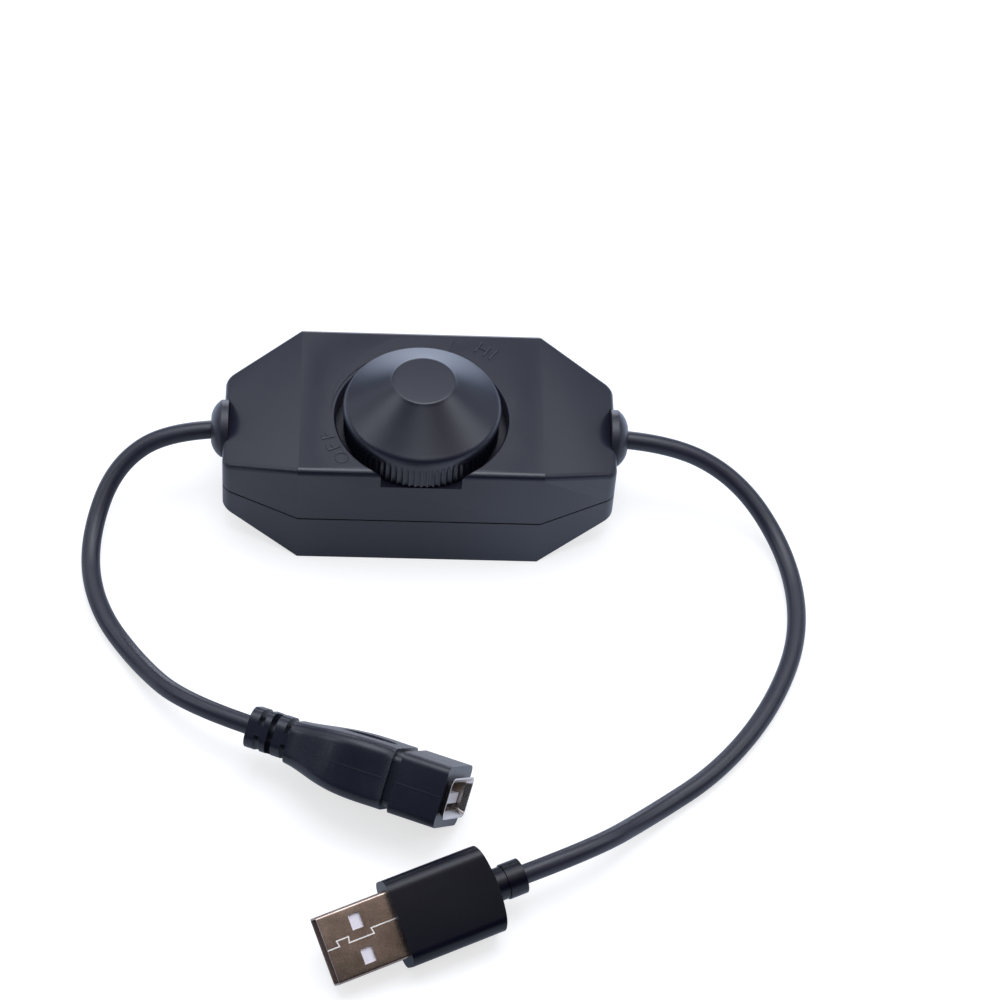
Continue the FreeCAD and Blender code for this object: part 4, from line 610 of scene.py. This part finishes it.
def letterMesh(letter, size, rise):
    curve = bpy.data.curves.new("letter", "FONT")
    curve.body = letter
    curve.size = size * mm
    curve.align_x = "CENTER"
    curve.extrude = rise / 2 * mm
    curve.bevel_depth = marks["letterEdge"] * mm
    curve.bevel_resolution = 1
    curve.offset = marks["letterGrow"] * mm
    curve.resolution_u = marks["letterSteps"]
    carrier = bpy.data.objects.new("letter", curve)
    bpy.context.scene.collection.objects.link(carrier)
    bpy.context.view_layer.update()
    mesh = bpy.data.meshes.new_from_object(carrier.evaluated_get(bpy.context.evaluated_depsgraph_get()))
    bpy.data.objects.remove(carrier)
    bpy.data.curves.remove(curve)
    return mesh


def joinMeshes(name, meshes):
    work = bmesh.new()
    for mesh in meshes:
        work.from_mesh(mesh)
        bpy.data.meshes.remove(mesh)
    bmesh.ops.remove_doubles(work, verts=work.verts, dist=marks["letterWeld"] * mm)
    joined = bpy.data.meshes.new(name)
    work.to_mesh(joined)
    work.free()
    return joined


def finishPiece(name, mesh, body, finish):
    mesh.materials.clear()
    mesh.materials.append(finishes[finish])
    smoothMesh(mesh, softening["sharpAngle"])
    piece = placeMesh(name, mesh)
    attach(piece, body)
    pieces[name] = piece


for name, mark in marks["letters"].items():
    letters = []
    for letter, angle in zip(mark["text"], mark["angles"]):
        mesh = letterMesh(letter, mark["size"], marks["rise"])
        turn = math.radians(angle)
        place = Vector((math.cos(turn) * mark["radius"], knob["centreY"] + math.sin(turn) * mark["radius"],
                        marks["top"])) * mm
        mesh.transform(Matrix.Translation(place) @ Matrix.Rotation(turn - math.pi / 2, 4, "Z"))
        letters.append(mesh)
    finishPiece(name, joinMeshes(name, letters), "case", "caseBlack")


def barMesh(name, rings):
    # Closed bar through rings of four corners
    work = bmesh.new()
    rows = [[work.verts.new(corner) for corner in ring] for ring in rings]
    for a, b in zip(rows, rows[1:]):
        for i in range(4):
            work.faces.new((a[i], a[(i + 1) % 4], b[(i + 1) % 4], b[i]))
    work.faces.new(rows[0])
    work.faces.new(list(reversed(rows[-1])))
    bmesh.ops.recalc_face_normals(work, faces=work.faces)
    mesh = bpy.data.meshes.new(name)
    work.to_mesh(mesh)
    work.free()
    return mesh


def wedgeMesh(mark, top):
    # Crescent that widens clockwise round the knob, with sloping sides
    steps, rise, sink = mark["steps"], mark["rise"], mark["sink"]
    first, last = mark["outer"][0][0], mark["outer"][-1][0]
    rings = []
    for i in range(steps + 1):
        angle = first + (last - first) * i / steps
        outer = mark["outer"][0][1]
        for (a0, r0), (a1, r1) in zip(mark["outer"], mark["outer"][1:]):
            if a1 <= angle <= a0:
                outer = r0 + (r1 - r0) * (a0 - angle) / (a0 - a1)
        turn = math.radians(angle)
        outer = min(outer, (mark["backEdge"] - knob["centreY"]) / max(math.sin(turn), 0.1))
        slope = min(rise, (outer - mark["inner"]) / 3)
        ring = []
        for radius, height in ((mark["inner"], sink), (mark["inner"] + slope, rise), (outer - slope, rise),
                               (outer, sink)):
            x, y = math.cos(turn) * radius, knob["centreY"] + math.sin(turn) * radius
            ring.append((x * mm, y * mm, (top + height) * mm))
        rings.append(ring)
    return barMesh("levelWedge", rings)


finishPiece("levelWedge", wedgeMesh(marks["wedge"], marks["top"]), "case", "caseBlack")
print("marks raised")


# Seams of the two connectors: the folded shell's joint, a bead of brighter metal that is a painted glint,
# and the mould's parting line

# Each connector starts at its cord's end
connectorFrames = {
    "plug": {"place": cordRoutes["inputCord"]["points"][-1], "turns": (-32, 1.5, 205)},
    "socket": {"place": cordRoutes["outputCord"]["points"][-1], "turns": (-49, -3, -23.2)},
}
plugSeamGlint = {
    "path": ((36.95, 0), (34.8, 0), (35.0, -1.02), (32.8, -1.02), (33.0, 0), (28.4, 0), (28.6, -1.02),
             (23.9, -1.02)),
    "width": 0.26,
    "topShare": 0.8,
    "low": 2.12,
    "high": 2.285,
}
socketSeam = {
    "runs": {"socketSeamGrip": (11.5, 27.8), "socketSeamFront": (30.2, 38.2)},
    "level": -0.6,
    "reach": 20.0,
    "grainAndSheenFrom": 9.0,
    "grainAndSheenFacing": 0.93,
    "width": 0.30,
    "rise": 0.07,
    "sink": 0.05,
    "steps": 24,
}


def connectorMatrix(look):
    turnX, turnY, turnZ = (math.radians(v) for v in look["turns"])
    turn = Matrix.Rotation(turnZ, 4, "Z") @ Matrix.Rotation(turnY, 4, "Y") @ Matrix.Rotation(turnX, 4, "X")
    return Matrix.Translation(Vector(look["place"]) * mm) @ turn @ Matrix.Scale(mm, 4)


def beadMesh(name, rings, matrix):
    # The rings are given in the connector's own millimetres
    return barMesh(name, [[matrix @ Vector(corner) for corner in ring] for ring in rings])


def plugSeamRings(look):
    path = [Vector(point) for point in look["path"]]
    rings = []
    for i, point in enumerate(path):
        before = (point - path[i - 1]).normalized() if i else (path[1] - point).normalized()
        after = (path[i + 1] - point).normalized() if i + 1 < len(path) else before
        side = (before + after).normalized()
        side = Vector((-side.y, side.x))
        side *= look["width"] / 2 / side.dot(Vector((-before.y, before.x)))
        crown = side * look["topShare"]
        rings.append([(*(point + side), look["low"]), (*(point + crown), look["high"]),
                      (*(point - crown), look["high"]), (*(point - side), look["low"])])
    return rings


def socketSeamRings(look, start, end, matrix, skin):
    # Follows the narrow side of the moulding, found by a straight look from outside
    inward = (matrix.to_3x3() @ Vector((0, 1, 0))).normalized()
    back = matrix.inverted()
    rings = []
    for i in range(look["steps"] + 1):
        x = start + (end - start) * i / look["steps"]
        hit = skin.ray_cast(matrix @ Vector((x, -look["reach"], look["level"])), inward)[0]
        low = (back @ hit).y + look["sink"]
        high = (back @ hit).y - look["rise"]
        level, half = look["level"], look["width"] / 2
        rings.append([(x, low, level - half), (x, high, level - half / 3), (x, high, level + half / 3),
                      (x, low, level + half)])
    return rings


plugMatrix = connectorMatrix(connectorFrames["plug"])
socketMatrix = connectorMatrix(connectorFrames["socket"])
# The plug's seam bead is brighter metal standing in for a glint: painted highlight
plugGlintBead = beadMesh("plugSeamGlint", plugSeamRings(plugSeamGlint), plugMatrix)
finishPiece("plugSeamGlint", plugGlintBead, "case", "seamGlintMetal")
gripMesh = pieces["socketGrip"].data
gripSkin = BVHTree.FromPolygons([vertex.co for vertex in gripMesh.vertices],
                                [tuple(polygon.vertices) for polygon in gripMesh.polygons])
for name, (start, end) in socketSeam["runs"].items():
    rings = socketSeamRings(socketSeam, start, end, socketMatrix, gripSkin)
    finishPiece(name, beadMesh(name, rings, socketMatrix), "case", "socketBlack")
# Second slot: coarse grain with painted sheen, for the wide faces
gripMesh.materials.append(finishes["socketGrainAndSheen"])
wideFace = (socketMatrix.to_3x3() @ Vector((0, 0, 1))).normalized()
backToSocket = socketMatrix.inverted()
for polygon in gripMesh.polygons:
    # The two wide faces have a coarser grain than the narrow sides, and a much lighter tone that is painted
    # sheen from light grazing them
    facing = abs(polygon.normal.dot(wideFace)) > socketSeam["grainAndSheenFacing"]
    if facing and (backToSocket @ polygon.center).x > socketSeam["grainAndSheenFrom"]:
        polygon.material_index = 1
print("seams laid")


# Solids that keep their own mesh and get a finish

finishOfNode = {
    "case_screws": "zincMetal", "control_bush": "brassMetal", "control_can": "zincMetal",
    "control_wafer": "waferBrown", "control_switch": "partWhite", "control_terminals": "tinMetal",
    "control_washer": "zincMetal", "control_nut": "zincMetal", "control_shaft": "shaftMetal",
    "control_rotor": "partWhite", "control_wiper": "brassMetal", "circuit_board": "boardGreen",
    "power_transistor": "packageBlack", "control_chip": "packageBlack", "flyback_diode": "packageBlack",
    "chip_resistors": "packageBlack", "chip_capacitors": "chipTan", "filter_capacitor": "sleeveBlue",
    "output_lead_red": "wireRed", "input_lead_red": "wireRed", "output_lead_black": "wireBlack",
    "input_lead_black": "wireBlack", "plug_tongue": "insulatorWhite", "socket_tongue": "insulatorWhite",
    "plug_contacts": "goldMetal", "socket_contacts": "goldMetal",
}
for node, finish in finishOfNode.items():
    solid = frame["nodes"][node]
    solid.data.materials.clear()
    solid.data.materials.append(finishes[finish])
print("solids finished:", len(finishOfNode))


# What lies on each cord, its stand-ins, solids and seams, is gathered in a list; nothing is attached to the
# cord

standIns = {look["node"]: pieces[name] for name, look in takenOver.items()}
for name, route in cordRoutes.items():
    riders = [standIns.get(node, frame["nodes"][node]) for node in route["riders"]]
    riders += [pieces[seam] for seam in route["seams"]]


# Studio: pale floor, soft lamps all round and above, dim room

studio = {
    "floorSize": 6.0,
    "floorTone": (0.42, 0.42, 0.43),
    "floorRoughness": 0.9,
    "floorDrop": 0.00002,
    "floorGlow": 0.70,
    # What reflections see of the floor: its glow before and after a span of metres along an axis
    "mirroredTone": (0.81, 1.0, 1.38),
    "mirrored": {
        "back": {"axis": "Y", "span": (-0.010, 0.030), "glow": (0.22, 0.86)},
        "right": {"axis": "X", "span": (-0.002, 0.030), "glow": (0.0, 0.22)},
        "left": {"axis": "X", "span": (-0.015, -0.045), "glow": (0.0, 0.07)},
    },
    "sky": (0.020, 0.021, 0.024),
    "lampTone": (0.96, 1.0, 1.10),
    "warmTone": (1.0, 0.84, 0.70),
    "lampDistance": 1.0,
    "lampSize": 0.5,
    # Degrees round from the back towards the right, degrees up, watts
    "lamps": {
        "backLow": (0, 12, 2.50),
        "backHigh": (0, 65, 1.54),
        "rightHigh": (60, 65, 2.20),
        "rightBack": (45, 38, 0.79),
        "rightLow": (60, 12, 0.27),
        "rightSide": (90, 38, 1.57),
        "leftHigh": (300, 65, 1.34),
        "leftBack": (315, 38, 0.91),
        "leftLow": (300, 12, 0.52),
        "leftSide": (270, 38, 1.50),
        "leftFront": (240, 65, 0.20),
        "frontHigh": (180, 65, 0.72),
        "top": (0, 90, 2.80),
    },
    "warmLamp": (121, 59, 0.35),
}


def sweepNode(tree, across, look):
    start, end = look["span"]
    low, high = look["glow"]
    node = addNode(tree, "ShaderNodeMapRange", {
        "Value": across.outputs[look["axis"]], "From Min": start, "From Max": end, "To Min": low,
        "To Max": high}, interpolation_type="SMOOTHSTEP")
    return node.outputs[0]


def makeFloor(look):
    work = bmesh.new()
    bmesh.ops.create_grid(work, x_segments=1, y_segments=1, size=look["floorSize"] / 2)
    mesh = bpy.data.meshes.new("studioFloor")
    work.to_mesh(mesh)
    work.free()
    floor = placeMesh("studioFloor", mesh)
    material, tree, shader = startMaterial("studioFloor")
    shader.inputs["Base Color"].default_value = (*look["floorTone"], 1)
    shader.inputs["Roughness"].default_value = look["floorRoughness"]
    shader.inputs["Specular IOR Level"].default_value = 0.0
    path = addNode(tree, "ShaderNodeLightPath")
    mirrored = mathNode(tree, "MAXIMUM", path.outputs["Is Glossy Ray"], path.outputs["Is Transmission Ray"])
    place = addNode(tree, "ShaderNodeTexCoord").outputs["Object"]
    across = addNode(tree, "ShaderNodeSeparateXYZ", {0: place})
    back, right, left = [sweepNode(tree, across, part) for part in look["mirrored"].values()]
    sweep = mathNode(tree, "ADD", back, mathNode(tree, "ADD", right, left))
    shown = mathNode(tree, "MULTIPLY", path.outputs["Is Camera Ray"], look["floorGlow"])
    strength = mathNode(tree, "ADD", shown, mathNode(tree, "MULTIPLY", mirrored, sweep))
    tint = addNode(tree, "ShaderNodeMix", {"Factor": path.outputs["Is Camera Ray"]}, data_type="RGBA")
    tint.inputs[6].default_value = (*look["mirroredTone"], 1)
    tint.inputs[7].default_value = (1, 1, 1, 1)
    glow = addNode(tree, "ShaderNodeEmission", {"Color": tint.outputs[2], "Strength": strength})
    both = addNode(tree, "ShaderNodeAddShader", {0: shader.outputs[0], 1: glow.outputs[0]})
    tree.links.new(both.outputs[0], tree.nodes["Material Output"].inputs["Surface"])
    mesh.materials.append(material)
    floor.data.transform(Matrix.Translation((0, 0, -look["floorDrop"])))


def makeSky(look):
    world = bpy.data.worlds.new("studioSky")
    bpy.context.scene.world = world
    world.use_nodes = True
    tree = world.node_tree
    background = tree.nodes["Background"]
    path = addNode(tree, "ShaderNodeLightPath")
    shown = addNode(tree, "ShaderNodeMix", {"Factor": path.outputs["Is Camera Ray"]}, data_type="RGBA")
    shown.inputs[6].default_value = (*look["sky"], 1)
    shown.inputs[7].default_value = (1, 1, 1, 1)
    tree.links.new(shown.outputs[2], background.inputs["Color"])
    background.inputs["Strength"].default_value = 1.0


def makeLamp(name, look, tone, azimuth, elevation, power):
    data = bpy.data.lights.new(name, "AREA")
    data.shape = "DISK"
    data.size = look["lampSize"]
    data.color = tone
    data.energy = power
    light = bpy.data.objects.new(name, data)
    bpy.context.scene.collection.objects.link(light)
    turn, up = math.radians(azimuth), math.radians(elevation)
    place = Vector((math.sin(turn) * math.cos(up), math.cos(turn) * math.cos(up), math.sin(up)))
    light.location = place * look["lampDistance"]
    light.rotation_euler = (-place).to_track_quat("-Z", "Y").to_euler()


makeFloor(studio)
makeSky(studio)
for name, lamp in studio["lamps"].items():
    makeLamp(name, studio, studio["lampTone"], *lamp)
makeLamp("warmLamp", studio, studio["warmTone"], *studio["warmLamp"])
bpy.context.scene.view_settings.view_transform = "Standard"
print("studio lit")

bpy.context.view_layer.update()
